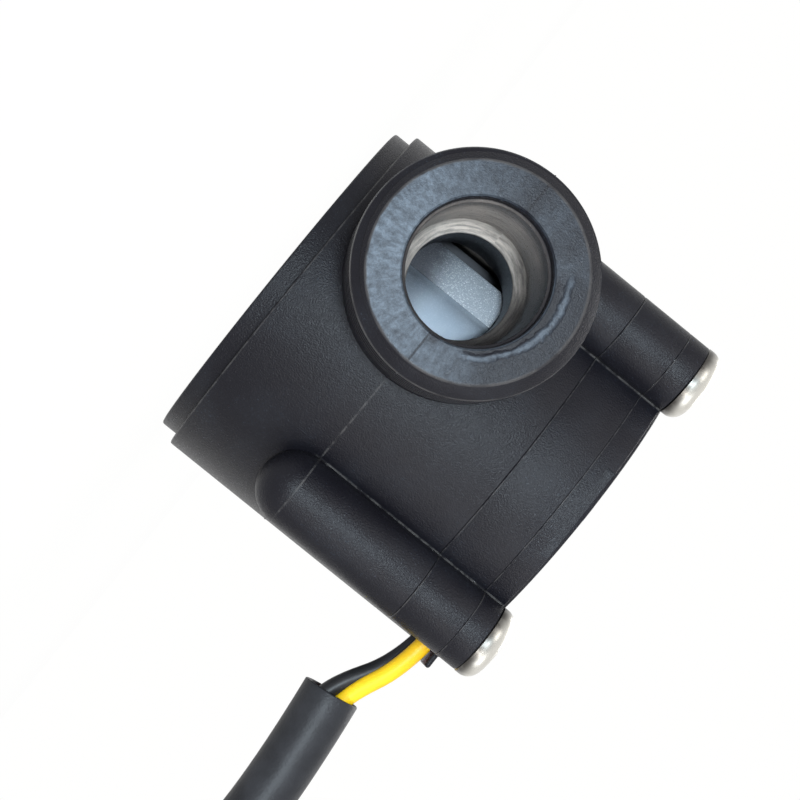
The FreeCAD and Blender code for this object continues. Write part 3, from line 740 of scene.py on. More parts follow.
    def material(self) -> bpy.types.Material:
        """Grow the finish, with its grain, speckle and wear.

        Returns:
            The material.
        """
        self.set_out()
        nodes = self.nodes
        cloud = nodes.noise(5.0, 3)
        spots = nodes.step(nodes.noise(self.grain * 1.2, 1, 0.5), 0.62, 0.76)
        # Painted glints: the pale bluish flecks stand for sparkle in the sheen as well as grain, clustered
        # where the cloud is high.
        fleck_and_glint_share = nodes.times(spots, nodes.step(cloud, 0.42, 0.70, 0.08, 0.45))
        pale, ridge = self.face()
        # The face's paleness is partly scuff and partly painted light.
        worn = nodes.times(self.on_face(), pale)
        # Painted highlights: the pale lines on crests, rims, seam and boss corners are partly edge wear.
        lines = nodes.math("MAXIMUM", self.crests(), self.outer_lines())
        colour = nodes.blend(nodes.step(cloud, 0.35, 0.75), self.base, self.pale)
        for share, over in ((fleck_and_glint_share, self.fleck_and_glint), (worn, self.scuff_and_light), (lines, self.line),
                            (self.limescale_and_light(), self.taupe)):
            colour = nodes.blend(share, colour, over)
        rough = nodes.less(nodes.plus(self.roughness - 0.06, nodes.times(cloud, 0.12)),
                           nodes.times(spots, 0.22))
        far_end = nodes.times(self.inside, nodes.step(self.x, *metres(self.wet_start), 0, 0.5))
        rough = nodes.math("ADD", nodes.plus(rough, nodes.times(worn, 0.12)), far_end, clamp=True)
        normal = nodes.bump(cloud, 0.02, nodes.bump(ridge, 0.16))
        normal = nodes.bump(nodes.noise(self.grain, 2, 0.6), 0.055, normal)
        nodes.shader.inputs["Specular IOR Level"].default_value = self.gloss
        return nodes.finish(Base_Color=colour, Roughness=rough, Normal=normal)


@dataclass(frozen=True)
class Moulded:
    """A plain moulded plastic, rubber or ceramic with mottle and grain."""

    name: str
    base: Colour
    pale: Colour
    roughness: float = 0.45
    grain: float = 0.2
    depth: float = 0.01
    mottle: float = 1.8
    glow: float = 0.0
    gloss: float = 0.5

    def material(self) -> bpy.types.Material:
        """Grow the finish.

        Returns:
            The material.
        """
        nodes = Nodes(self.name)
        cloud = nodes.noise(self.mottle, 3)
        grain = nodes.noise(self.grain, 2, 0.6)
        colour = nodes.blend(nodes.step(cloud, 0.3, 0.7), self.base, self.pale)
        rough = nodes.plus(self.roughness - 0.06, nodes.times(cloud, 0.12))
        nodes.shader.inputs["Subsurface Weight"].default_value = self.glow
        nodes.shader.inputs["Subsurface Radius"].default_value = (0.0008, 0.0009, 0.001)
        nodes.shader.inputs["Specular IOR Level"].default_value = self.gloss
        return nodes.finish(Base_Color=colour, Roughness=rough,
                            Normal=nodes.bump(grain, self.depth, nodes.bump(cloud, self.depth * 2)))


@dataclass(frozen=True)
class Metal:
    """A plated or bare metal with fine scratches and dull spots, and where asked a painted shade band at the
    foot of a screw head.
    """

    name: str
    base: Colour
    dull: Colour
    roughness: float = 0.24
    scratch: Point = (1, 1, 8)
    depth: float = 0.006
    # shade, shade_low and shade_high paint a shade band at the foot of a screw head.
    shade: Colour = (0.050, 0.042, 0.036)
    shade_low: float = 0.0
    shade_high: float = 0.0

    def material(self) -> bpy.types.Material:
        """Grow the finish.

        Returns:
            The material.
        """
        nodes = Nodes(self.name)
        spots = nodes.step(nodes.noise(0.7, 3, 0.6), 0.42, 0.72)
        lines = nodes.noise(0.9, 3, 0.7, self.scratch)
        colour = nodes.blend(spots, self.base, self.dull)
        # Painted shade: darkens the head from shade_low up to shade_high, with a little noise.
        if self.shade_high:
            z = nodes.axes()[2]
            painted_shade = nodes.times(nodes.step(z, self.shade_low * MM, self.shade_high * MM, 1, 0),
                                nodes.step(nodes.noise(1.1, 3), 0.3, 0.6, 0.8, 0.95))
            colour = nodes.blend(painted_shade, colour, self.shade)
        rough = nodes.plus(self.roughness, nodes.times(spots, 0.06))
        nodes.shader.inputs["Metallic"].default_value = 1.0
        return nodes.finish(Base_Color=colour, Roughness=rough, Normal=nodes.bump(lines, self.depth))


@dataclass(frozen=True)
class Insulation:
    """Glossy wire insulation, darker where it nears the housing."""

    name: str
    base: Colour
    deep: Colour
    roughness: float = 0.42
    far: float = -24.0
    near: float = -18.0

    def material(self) -> bpy.types.Material:
        """Grow the finish.

        Returns:
            The material.
        """
        nodes = Nodes(self.name)
        cloud = nodes.noise(3.0, 3)
        near = nodes.step(nodes.axes()[1], self.far * MM, self.near * MM)
        shade = nodes.math("ADD", nodes.times(near, 0.45),
                           nodes.times(nodes.step(cloud, 0.45, 0.75), 0.3), clamp=True)
        colour = nodes.blend(shade, self.base, self.deep)
        rough = nodes.plus(self.roughness - 0.05, nodes.times(cloud, 0.16))
        nodes.shader.inputs["Specular IOR Level"].default_value = 0.3
        return nodes.finish(Base_Color=colour, Roughness=rough,
                            Normal=nodes.bump(nodes.noise(0.5, 2), 0.02, nodes.bump(cloud, 0.06)))


@dataclass(frozen=True)
class Frosted:
    """The wheel's pale plastic, frosted where water and grit have worn it, with painted shade towards its low
    end and on one flank.
    """

    name: str = "wheel_plastic"
    base: Colour = (0.36, 0.43, 0.52)
    # The dark colour paints shade towards the wheel's low end.
    dark: Colour = (0.074, 0.074, 0.083)
    grit: Colour = (0.42, 0.46, 0.51)
    # Colour of a painted shadow on one blade flank.
    painted_shade: Colour = (0.040, 0.040, 0.045)
    bright: Colour = (0.85, 0.88, 0.88)
    tip_radius: float = 13.1
    low: float = 9.5
    high: float = 14.0
    dim_high: float = 13.0
    # Where the painted shadow lies on the wheel, in millimetres.
    painted_shade_x: Span = (-5.0, -3.5)
    painted_shade_y: Span = (9.5, 11.0)

    def material(self) -> bpy.types.Material:
        """Grow the finish, with sparkling grain on the blade tips, painted shade towards the wheel's low end
        and a painted shadow on one flank.

        Returns:
            The material.
        """
        nodes = Nodes(self.name)
        x, y, z = nodes.axes()
        out = nodes.distance(x, 0, y, 0)
        tip = nodes.step(out, self.tip_radius * MM, (self.tip_radius + 0.15) * MM)
        grit = nodes.noise(0.14, 2, 0.7)
        # The bright sparkle on the tips is partly frost grain and partly painted glints.
        sparkle = nodes.step(grit, 0.54, 0.68)
        cloud = nodes.noise(2.2, 3)
        # Painted shade: the tip colour runs from dark at the wheel's low end to grit at its high end, and its
        # glints fade with it.
        rise = nodes.step(nodes.plus(z, nodes.times(cloud, 0.002)),
                          (self.low + 1) * MM, (self.high + 1) * MM)
        ground = nodes.blend(rise, self.dark, self.grit)
        frost = nodes.blend(nodes.times(sparkle, rise), ground, self.bright)
        colour = nodes.blend(nodes.times(cloud, 0.3), self.base, self.bright)
        # Painted shade: the whole wheel darkens towards its low end, up to dim_high.
        colour = nodes.blend(nodes.step(z, self.low * MM, self.dim_high * MM, 0.7, 0), colour, self.dark)
        # Painted shadow: one blade flank beside the tip is darkened and roughened, and it turns with the
        # wheel.
        painted_shade = nodes.times(nodes.step(x, *metres(self.painted_shade_x)), nodes.step(y, *metres(self.painted_shade_y)))
        colour = nodes.blend(nodes.times(tip, 0.92), colour, frost)
        colour = nodes.blend(nodes.times(painted_shade, 0.98), colour, self.painted_shade)
        rough = nodes.plus(0.24, nodes.times(sparkle, 0.2))
        rough = nodes.math("ADD", rough, nodes.times(painted_shade, 0.6), clamp=True)
        nodes.shader.inputs["Subsurface Weight"].default_value = 0.10
        nodes.shader.inputs["Subsurface Radius"].default_value = (0.0009, 0.001, 0.0012)
        height = nodes.times(grit, tip)
        return nodes.finish(Base_Color=colour, Roughness=rough,
                            Normal=nodes.bump(height, 0.05, nodes.bump(cloud, 0.04)))


FINISHES = {finish.name: finish for finish in (
    BlackNylon(),
    Moulded("seal_rubber", (0.012, 0.012, 0.012), (0.03, 0.03, 0.03), 0.6, 0.15),
    # The screw steel's last three values paint a shade band at the foot of each head.
    Metal("screw_steel", (0.66, 0.64, 0.59), (0.60, 0.58, 0.53), 0.32, (1, 1, 8), 0.002,
          (0.045, 0.041, 0.038), 34.25, 35.45),
    Frosted(),
    Metal("magnet_plating", (0.66, 0.66, 0.67), (0.5, 0.5, 0.5), 0.22, (3, 3, 3)),
    Metal("shaft_steel", (0.72, 0.72, 0.73), (0.58, 0.58, 0.58), 0.16),
    Moulded("washer_plastic", (0.74, 0.73, 0.69), (0.82, 0.81, 0.78), 0.4),
    Moulded("board_laminate", (0.02, 0.16, 0.06), (0.03, 0.22, 0.09), 0.35, 0.5),
    Moulded("switch_case", (0.02, 0.02, 0.022), (0.045, 0.045, 0.05), 0.5),
    Moulded("capacitor_ceramic", (0.42, 0.29, 0.17), (0.5, 0.36, 0.22), 0.5),
    Moulded("resistor_ceramic", (0.03, 0.03, 0.035), (0.06, 0.06, 0.065), 0.4),
    Insulation("yellow_insulation", (0.78, 0.49, 0.008), (0.46, 0.21, 0.006)),
    Insulation("black_insulation", (0.011, 0.0108, 0.0120), (0.019, 0.019, 0.022)),
    Insulation("red_insulation", (0.50, 0.012, 0.010), (0.24, 0.006, 0.006)),
    Moulded("sleeve_plastic", (0.0100, 0.0105, 0.0128), (0.0175, 0.0182, 0.0215),
            0.46, 0.25, 0.03, 2.4, 0.0, 0.24),
    Moulded("connector_plastic", (0.78, 0.76, 0.70), (0.86, 0.84, 0.79), 0.42,
            0.2, 0.01, 1.8, 0.1),
    Metal("contact_tin", (0.74, 0.73, 0.70), (0.58, 0.57, 0.54), 0.28),
)}
MATERIALS: dict[str, bpy.types.Material] = {}


def finish_named(slot: str) -> bpy.types.Material:
    """The material of one of the record's slots, grown once.

    Args:
        slot: The slot's name.

    Returns:
        The material.
    """
    if slot not in MATERIALS:
        MATERIALS[slot] = FINISHES[slot].material()
    return MATERIALS[slot]


def dress(piece: Piece, slot: str, body: Body, *nodes: str) -> Piece:
    """Give a new piece its finish and its body, and hide the nodes that it stands for.

    Args:
        piece: The finished piece.
        slot: The record's material slot.
        body: The body that it rides on.
        nodes: The solids that it replaces.

    Returns:
        The same piece.
    """
    piece.data.materials.clear()
    piece.data.materials.append(finish_named(slot))
    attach(piece, body.value)
    if nodes:
        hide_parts(*nodes)
    log.info("built %s, %s", piece.name, slot)
    return piece


# what the camera sees and the light on it

@dataclass
class Studio:
    """The camera, the pale floor and the soft light."""

    place: Point = (-212.849338, -15.946884, 6.607330)
    right: Point = (-0.0764646, 0.62562956, 0.77636385)
    up: Point = (-0.0237988, 0.77727645, -0.62870894)
    look: Point = (0.99678823, 0.06655051, 0.04454489)
    lens: float = 101.2445
    sensor: float = 36.0
    floor_half: float = 1.6
    white: Colour = (1.0, 1.0, 0.995)
    sky: float = 0.55

    def camera(self) -> None:
        """Set the camera where the photograph was taken from."""
        data = bpy.data.cameras.new("camera")
        data.lens = self.lens
        data.sensor_width = self.sensor
        data.clip_start = 0.002
        camera = bpy.data.objects.new("camera", data)
        columns = Matrix((self.right, self.up, [-value for value in self.look])).transposed()
        camera.matrix_world = Matrix.Translation(Vector(self.place) * MM) @ columns.to_4x4()
        bpy.context.scene.collection.objects.link(camera)
        bpy.context.scene.camera = camera

    def floor(self) -> None:
        """Lay the floor, white to the camera and pale to the light."""
        clear_selection()
        bpy.ops.mesh.primitive_plane_add(size=self.floor_half * 2)
        floor = bpy.context.object
        floor.name = "floor"
        nodes = Nodes("pale_floor")
        nodes.finish(Base_Color=(0.9, 0.9, 0.9), Roughness=0.9)
        self.show_white(nodes.tree, nodes.shader.outputs[0], nodes.tree.nodes["Material Output"], 0.98)
        floor.data.materials.append(nodes.material)

    def show_white(self, tree: bpy.types.NodeTree, plain: Socket,
                   output: bpy.types.Node, share: float) -> None:
        """Show white to camera, glossy and transmission rays.

        Args:
            tree: The nodes to add to.
            plain: What other rays see.
            output: The node that ends the tree.
            share: How much white the camera sees.
        """
        path = tree.nodes.new("ShaderNodeLightPath").outputs
        seen = path["Is Camera Ray"]
        for operation, other in (("MAXIMUM", path["Is Glossy Ray"]),
                                 ("MAXIMUM", path["Is Transmission Ray"]), ("MULTIPLY", None)):
            node = tree.nodes.new("ShaderNodeMath")
            node.operation = operation
            tree.links.new(seen, node.inputs[0])
            if other:
                tree.links.new(other, node.inputs[1])
            else:
                node.inputs[1].default_value = share
            seen = node.outputs[0]
        glow = tree.nodes.new("ShaderNodeEmission" if output.type == "OUTPUT_MATERIAL"
                              else "ShaderNodeBackground")
        glow.inputs["Color"].default_value = (*self.white, 1)
        glow.inputs["Strength"].default_value = 1.0
        mix = tree.nodes.new("ShaderNodeMixShader")
        tree.links.new(seen, mix.inputs[0])
        tree.links.new(plain, mix.inputs[1])
        tree.links.new(glow.outputs[0], mix.inputs[2])
        tree.links.new(mix.outputs[0], output.inputs["Surface"])

    def world(self) -> None:
        """Give the world a soft even light and a white look."""
        world = bpy.data.worlds.new("studio")
        world.use_nodes = True
        bpy.context.scene.world = world
        tree = world.node_tree
        soft = tree.nodes["Background"]
        soft.inputs["Color"].default_value = (0.96, 0.98, 1.0, 1)
        soft.inputs["Strength"].default_value = self.sky
        output = next(node for node in tree.nodes if node.type == "OUTPUT_WORLD")
        self.show_white(tree, soft.outputs[0], output, 1.0)

    def lamp(self, name: str, place: Point, size: float, power: float, tint: Colour) -> None:
        """Hang a soft box that faces the object.

        Args:
            name: The lamp's name.
            place: Where it hangs, in metres.
            size: Its side in metres.
            power: Its power in watts.
            tint: Its colour.
        """
        data = bpy.data.lights.new(name, "AREA")
        data.shape = "SQUARE"
        data.size = size
        data.energy = power
        data.color = tint
        lamp = bpy.data.objects.new(name, data)
        lamp.location = place
        aim = Vector((0, 0, 0.016)) - Vector(place)
        lamp.rotation_euler = aim.to_track_quat("-Z", "Y").to_euler()
        bpy.context.scene.collection.objects.link(lamp)

    def build(self) -> None:
        """Set up the camera, floor, world and lamps."""
        bpy.context.scene.view_settings.view_transform = "Standard"
        self.camera()
        self.floor()
        self.world()
        self.lamp("key", (-0.50, -0.006, 0.036), 0.06, 2.8, (0.78, 0.91, 1.0))
        self.lamp("low", (-0.42, -0.30, 0.11), 0.14, 0.75, (1.0, 0.98, 0.96))
        self.lamp("side", (-0.42, 0.34, 0.26), 0.26, 0.85, (1.0, 0.98, 0.95))
        self.lamp("fill", (-0.30, -0.45, 0.40), 0.40, 1.4, (0.94, 0.97, 1.0))
        self.lamp("back", (0.45, 0.25, 0.50), 0.45, 1.9, (1.0, 1.0, 1.0))


# the lead

@dataclass
class Lead:
    """Three wires in a soft sleeve, with a plug at their end."""

    wire: float = 1.7
    sleeve: float = 5.6
    wall: float = 0.35
    route: tuple[Point, ...] = (
        (-3.0, -27.1, 28.1), (-3.0, -37.8, 29.5), (-4.2, -49.4, 28.8), (-6.2, -60.0, 22.6),
        (-7.2, -69.4, 14.2), (-5.0, -78.0, 7.4), (1.4, -85.8, 3.3), (11.6, -91.2, 2.8),
        (22.8, -91.6, 2.8))
    tail: tuple[Point, ...] = ((31.4, -88.4, 2.3), (38.6, -82.6, 2.3))
    plug_place: Point = (43.4, -75.4, 2.9)
    plug_turn: float = 59.0
    pitch: float = 2.5
    inside: float = 3.2
    reach: float = 1.05
    twist: float = -150.0
    sides: dict[str, float] = field(default_factory=lambda: {"yellow": -1, "black": 0, "red": 1})
    angles: dict[str, float] = field(default_factory=lambda: {"yellow": 210, "black": 90, "red": 330})
    starts: dict[str, Point] = field(default_factory=lambda: {
        "yellow": (-5.0, 32.0, 155.9), "black": (-3.1, 31.72, 153.7), "red": (-1.2, 32.0, 150.9)})

    def beside(self, angle: float) -> list[Vector]:
        """One wire's way beside the lead's route, in a slow twist.

        Args:
            angle: Where the wire lies round the route at the plug, in degrees.

        Returns:
            The wire's points in millimetres, from the sleeve's mouth on.
        """
        middle = [Vector(point) for point in self.route + self.tail]
        inward = (middle[1] - middle[0]).normalized()
        middle.insert(1, middle[0] + inward * self.inside)
        moved: list[Vector] = []
        last = len(middle) - 1
        for index, point in enumerate(middle):
            heading = (middle[min(index + 1, last)] - middle[max(index - 1, 0)]).normalized()
            left = Vector((0, 0, 1)).cross(heading).normalized()
            turn = math.radians(angle + self.twist * (1 - index / last))
            moved.append(point - left * self.reach * math.cos(turn)
                         + heading.cross(left) * self.reach * math.sin(turn))
        return moved

    def at_plug(self, along: float, across: float) -> Vector:
        """A point by the plug, along and across its own axis, in millimetres.

        Args:
            along: Distance along the plug's axis, in millimetres.
            across: Distance to its side.

        Returns:
            The point in millimetres.
        """
        turn = math.radians(self.plug_turn)
        along_way = Vector((math.cos(turn), math.sin(turn), 0))
        across_way = Vector((-math.sin(turn), math.cos(turn), 0))
        return Vector(self.plug_place) + along_way * along + across_way * across

    def spline(self, name: str, points: Sequence[Sequence[float]], thick: float) -> Piece:
        """Draw one smooth line through the lead's points.

        Args:
            name: The curve's name.
            points: Its points in millimetres.
            thick: Its diameter in millimetres, or 0 for a bare line.

        Returns:
            The curve.
        """
        curve = bpy.data.curves.new(name, "CURVE")
        curve.dimensions = "3D"
        line = curve.splines.new("NURBS")
        line.points.add(len(points) - 1)
        for spot, point in zip(line.points, points):
            spot.co = (*[value * MM for value in point], 1)
        line.order_u = 3
        line.use_endpoint_u = True
        line.resolution_u = 10
        curve.bevel_depth = thick / 2 * MM
        curve.bevel_resolution = 5
        curve.use_fill_caps = True
        piece = bpy.data.objects.new(name, curve)
        bpy.context.scene.collection.objects.link(piece)
        return piece

    def wires(self) -> None:
        """Lay the three wires from the board to the plug.
        """
        for colour, (x, level, length) in self.starts.items():
            step = self.sides[colour]
            points = [Vector((x, 3.2, 25.35)), Vector((x, -3.2, 25.35)), Vector((x, -8.3, level)),
                      Vector((x, -20.3, level))]
            points += self.beside(self.angles[colour])
            points += [self.at_plug(-3.0, step * self.pitch), self.at_plug(2.4, step * self.pitch)]
            piece = self.spline(f"lead_{colour}", points, self.wire)
            dress(piece, f"{colour}_insulation", Body.HOUSING, f"wire_{colour}")

    def tube(self) -> None:
        """Pull the sleeve over the wires."""
        bare = self.spline("route_line", self.route, 0)
        mesh = bpy.data.meshes.new_from_object(bare)
        bpy.data.objects.remove(bare, do_unlink=True)
        piece = self.spline("sleeve", self.route, self.sleeve)
        piece.data.use_fill_caps = False
        piece.data.bevel_resolution = 9
        pick(piece)
        bpy.ops.object.convert(target="MESH")
        piece = bpy.context.object
        open_all(piece)
        bpy.ops.mesh.remove_doubles(threshold=DOUBLES)
        close_outwards()
        modified(piece, "SOLIDIFY", thickness=self.wall * MM, offset=-1)
        beveled(piece, 0.12, 60)
        smoothed(piece, 50)
        dress(piece, "sleeve_plastic", Body.HOUSING, "lead_sleeve")

    def plug(self) -> list[Piece]:
        """Ease the plug's body and its contacts.

        Returns:
            The plug's pieces.
        """
        pieces = [softened("plug_body", "connector_housing", "connector_plastic", 0.18)]
        for colour in self.starts:
            pieces.append(softened(f"contact_{colour}", f"terminal_{colour}", "contact_tin", 0.06))
        return pieces

    def build(self) -> None:
        """Make the plug, the wires and the sleeve."""
        pieces = self.plug()
        self.wires()
        self.tube()


def softened(name: str, node: str, slot: str, width: float) -> Piece:
    """Stand in for a node with a copy whose edges are eased.

    Args:
        name: The new piece's name.
        node: The solid that it stands for.
        slot: The record's material slot.
        width: Width of the ease in millimetres.

    Returns:
        The piece.
    """
    piece = bpy.data.objects[node].copy()
    piece.data = bpy.data.objects[node].data.copy()
    for key in list(piece.keys()):
        del piece[key]
    piece.name = name
    bpy.context.scene.collection.objects.link(piece)
    cleaned(piece)
    beveled(piece, width)
    smoothed(piece, 40)
    return dress(piece, slot, Body.HOUSING, node)


# the housing

def at_bosses(first: Piece) -> list[Piece]:
    """Copy one piece so that it stands at each of the four bosses."""
    pieces = [first, *(copied(first, first.name) for _ in BOSSES[1:])]
    return [placed(piece, (x, y, 0)) for piece, (x, y) in zip(pieces, BOSSES)]


def boss_rings(low: float, high: float, low_ease: float, high_ease: float) -> list[Piece]:
    """The parts of the four bosses that belong to the cover or the cap.

    Args:
        low: Where they start, in millimetres.
        high: Where they end.
        low_ease: Ease of their lower edge.
        high_ease: Ease of their upper edge.

    Returns:
        The four rings.
    """
    profile = eased([(2.4, low, 0), (BOSS_RADIUS, low, low_ease), (BOSS_RADIUS, high, high_ease),
                     (2.4, high, 0)])
    return at_bosses(turned("boss", profile, 72))


@dataclass
class Housing:
    """The moulded body with two threaded ports and the wheel's chamber."""

    radius: float = BODY_RADIUS
    back_radius: float = 17.5
    back_depth: float = 1.75
    height: float = 26.7
    boss: float = BOSS_RADIUS
    boss_start: float = 13.2
    pipe_y: float = PIPE_Y
    pipe_z: float = PIPE_Z
    port_end: float = 31.25
    thread: float = 10.48
    neck: float = 10.0
    neck_end: float = 18.6
    face: float = 9.2
    pitch: float = 1.814
    root: float = 9.38
    turns: int = 6
    thread_start: float = 21.8
    flash: float = 0.06
    flash_half: float = 0.05

    def trunk(self) -> Piece:
        """Turn the round body on its back disc.

        Returns:
            The trunk.
        """
        return turned("housing", eased([
            (16.6, 0, 0), (self.back_radius, 0, 0.25), (self.back_radius, self.back_depth, 0.1),
            (self.radius, self.back_depth, 0.22), (self.radius, self.height, 0.14),
            (17.2, self.height, 0)]), 192)

    def both_ways(self, name: str, half: Profile, sides: int) -> Piece:
        """Turn a solid along the pipe, the same towards both ports.

        Args:
            name: The solid's name.
            half: Radius and distance from the middle, in millimetres, out to one port.
            sides: Faces round it.

        Returns:
            The solid, laid along the pipe's axis.
        """
        profile = [(radius, -along) for radius, along in reversed(half)] + list(half)
        return placed(turned(name, profile, sides), (0, self.pipe_y, self.pipe_z), (0, 90, 0))

    def pipe(self) -> Piece:
        """Turn the pipe that runs through the body, with its worn faces.

        Returns:
            The pipe, with its axis along X.
        """
        half = [(self.neck, self.neck_end, 0), (self.thread, self.neck_end, 0.1),
                (self.thread, self.port_end - 1.28, 0.25), (self.face, self.port_end, 0.16),
                (7.0, self.port_end, 0), (6.0, self.port_end, 0)]
        return self.both_ways("pipe", eased(half), 160)

    def bosses(self) -> list[Piece]:
        """Turn one screw boss with its round lower end and copy it to four places.

        Returns:
            The four bosses.
        """
        dome = [(self.boss * math.cos(math.radians(angle)),
                 self.boss_start - self.boss * math.sin(math.radians(angle)))
                for angle in range(86, 0, -6)]
        profile = dome + eased([(self.boss, self.boss_start, 0), (self.boss, self.height, 0.14),
                                (2.4, self.height, 0)])
        return at_bosses(turned("boss", profile, 72))

    def parting_line(self) -> list[Piece]:
        """The thin ridge where the two halves of the mould met.

        Returns:
            The pieces of the ridge.
        """
        low, high = self.pipe_z - self.flash_half, self.pipe_z + self.flash_half
        body, boss = self.radius + self.flash, self.boss + self.flash
        ridge = [turned("ridge", [(body, low), (body, high)], 192),
                 *at_bosses(turned("ridge", [(boss, low), (boss, high)], 72))]
        for reach, half in ((self.port_end - 1.3, self.thread + self.flash),
                            (self.neck_end, self.neck + self.flash)):
            ridge.append(block("ridge", (-reach, self.pipe_y - half, low), (reach, self.pipe_y + half, high)))
        return ridge

    def chamber(self) -> Piece:
        """The hollow for the wheel, its shaft and the cover's plug."""
        return turned("hollow", [(1.02, 3.2), (1.02, 7.7), (14.0, 7.7), (14.0, 18.9), (14.6, 18.9),
                                 (14.6, 26.2), (15.0, 27.2)], 160)

    def waterway(self) -> Piece:
        """The mouth and bore, which narrow to a throat at the chamber.

        Returns:
            The solid to cut out.
        """
        half = eased([(4.75, 0.5, 0), (4.75, 15.6, 0.1), (5.9, 17.3, 0.3), (5.9, 29.65, 0.08),
                      (6.18, 29.8, 0.06), (6.22, 31.0, 0.1), (6.42, 31.25, 0.05), (6.44, 33.0, 0)])
        return self.both_ways("hollow", half, 128)

    def thread_groove(self) -> list[Piece]:
        """Sweep the thread's groove along its helix, once for each port.

        Returns:
            The two solids to cut out.
        """
        size = (self.thread + 0.2 - self.root) / 1.5
        half_width = (self.thread + 0.2 - self.root) * math.tan(math.radians(27.5))
        clear_selection()
        bpy.ops.mesh.primitive_circle_add(vertices=3, radius=size * MM, fill_type="NOTHING",
                                          rotation=(0, 0, math.pi))
        groove = bpy.context.object
        groove.name = "groove"
        groove.scale = (half_width / (size * math.sqrt(3) / 2), 1, 1)
        groove.location = (0, (self.root + size) * MM, 0)
        settle(groove)
        modified(groove, "SCREW", axis="X", steps=56, render_steps=56, iterations=self.turns,
                 screw_offset=self.pitch * MM, use_merge_vertices=False)
        open_all(groove)
        bpy.ops.mesh.fill_holes(sides=3)
        close_outwards()
        start = self.thread_start
        other = placed(copied(groove, "groove"), (-start, self.pipe_y, self.pipe_z), (0, 0, 180))
        return [placed(groove, (start, self.pipe_y, self.pipe_z)), other]

    def screw_holes(self) -> list[Piece]:
        """The four pilot holes in the bosses."""
        return at_bosses(turned("hole", [(1.77, 15.5), (1.77, 26.4), (2.1, 26.9)], 40))

    def build(self) -> Piece:
        """Join the solids, cut the hollows and dress the piece.

        Returns:
            The finished piece.
        """
        piece = self.trunk()
        joined(piece, [self.pipe()], Join.ADD)
        joined(piece, self.bosses(), Join.ADD)
        joined(piece, self.parting_line(), Join.ADD)
        joined(piece, [self.chamber(), self.waterway()], Join.CUT)
        joined(piece, self.screw_holes(), Join.CUT)
        joined(piece, self.thread_groove(), Join.CUT)
        smoothed(piece, 30)
        return dress(piece, "black_nylon", Body.HOUSING, "housing_body")


@dataclass
class Cover:
    """The cover that plugs the chamber and holds the board."""

    radius: float = BODY_RADIUS
    low: float = 26.7
    high: float = 31.9
    plug: float = 14.5
    plug_low: float = 18.9
    post_x: float = 6.2
    post_y: float = 4.7

    def posts(self) -> list[Piece]:
        """The four posts under the board.

        Returns:
            The four posts.
        """
        profile = eased([(1.1, 20.3, 0), (1.1, 23.25, 0.15), (0.5, 23.25, 0)])
        first = turned("post", profile, 24)
        places = [(x, y, 0) for x in (-self.post_x, self.post_x) for y in (-self.post_y, self.post_y)]
        pieces = [first, *(copied(first, "post") for _ in places[1:])]
        return [placed(piece, place) for piece, place in zip(pieces, places)]

    def build(self) -> Piece:
        """Turn the cover, add its bosses and posts and cut its holes.

        Returns:
            The finished piece.
        """
        piece = turned("cover_piece", eased([
            (13.6, self.plug_low, 0), (self.plug, self.plug_low, 0.3), (self.plug, 22.4, 0.1),
            (13.05, 22.4, 0.1), (13.05, 24.4, 0.1), (self.plug, 24.4, 0.1), (self.plug, self.low, 0),
            (self.radius, self.low, 0.16), (self.radius, self.high, 0.1), (11.8, self.high, 0),
            (11.4, 31.5, 0), (11.4, 20.65, 0.3), (2.2, 20.65, 0.1), (2.2, 21.9, 0.2), (1.2, 21.9, 0)]), 192)
        joined(piece, boss_rings(self.low, self.high, 0.16, 0.1) + self.posts(), Join.ADD)
        holes = at_bosses(turned("hole", [(SCREW_HOLE, 26), (SCREW_HOLE, 33)], 40))
        seat = turned("hole", [(1.02, 18), (1.02, 21.2)], 32)
        slot = block("slot", (-6.05, -21, 30.82), (-0.15, -9, 33))
        joined(piece, [*holes, seat, slot], Join.CUT)
        smoothed(piece, 30)
        return dress(piece, "black_nylon", Body.HOUSING, "cover")


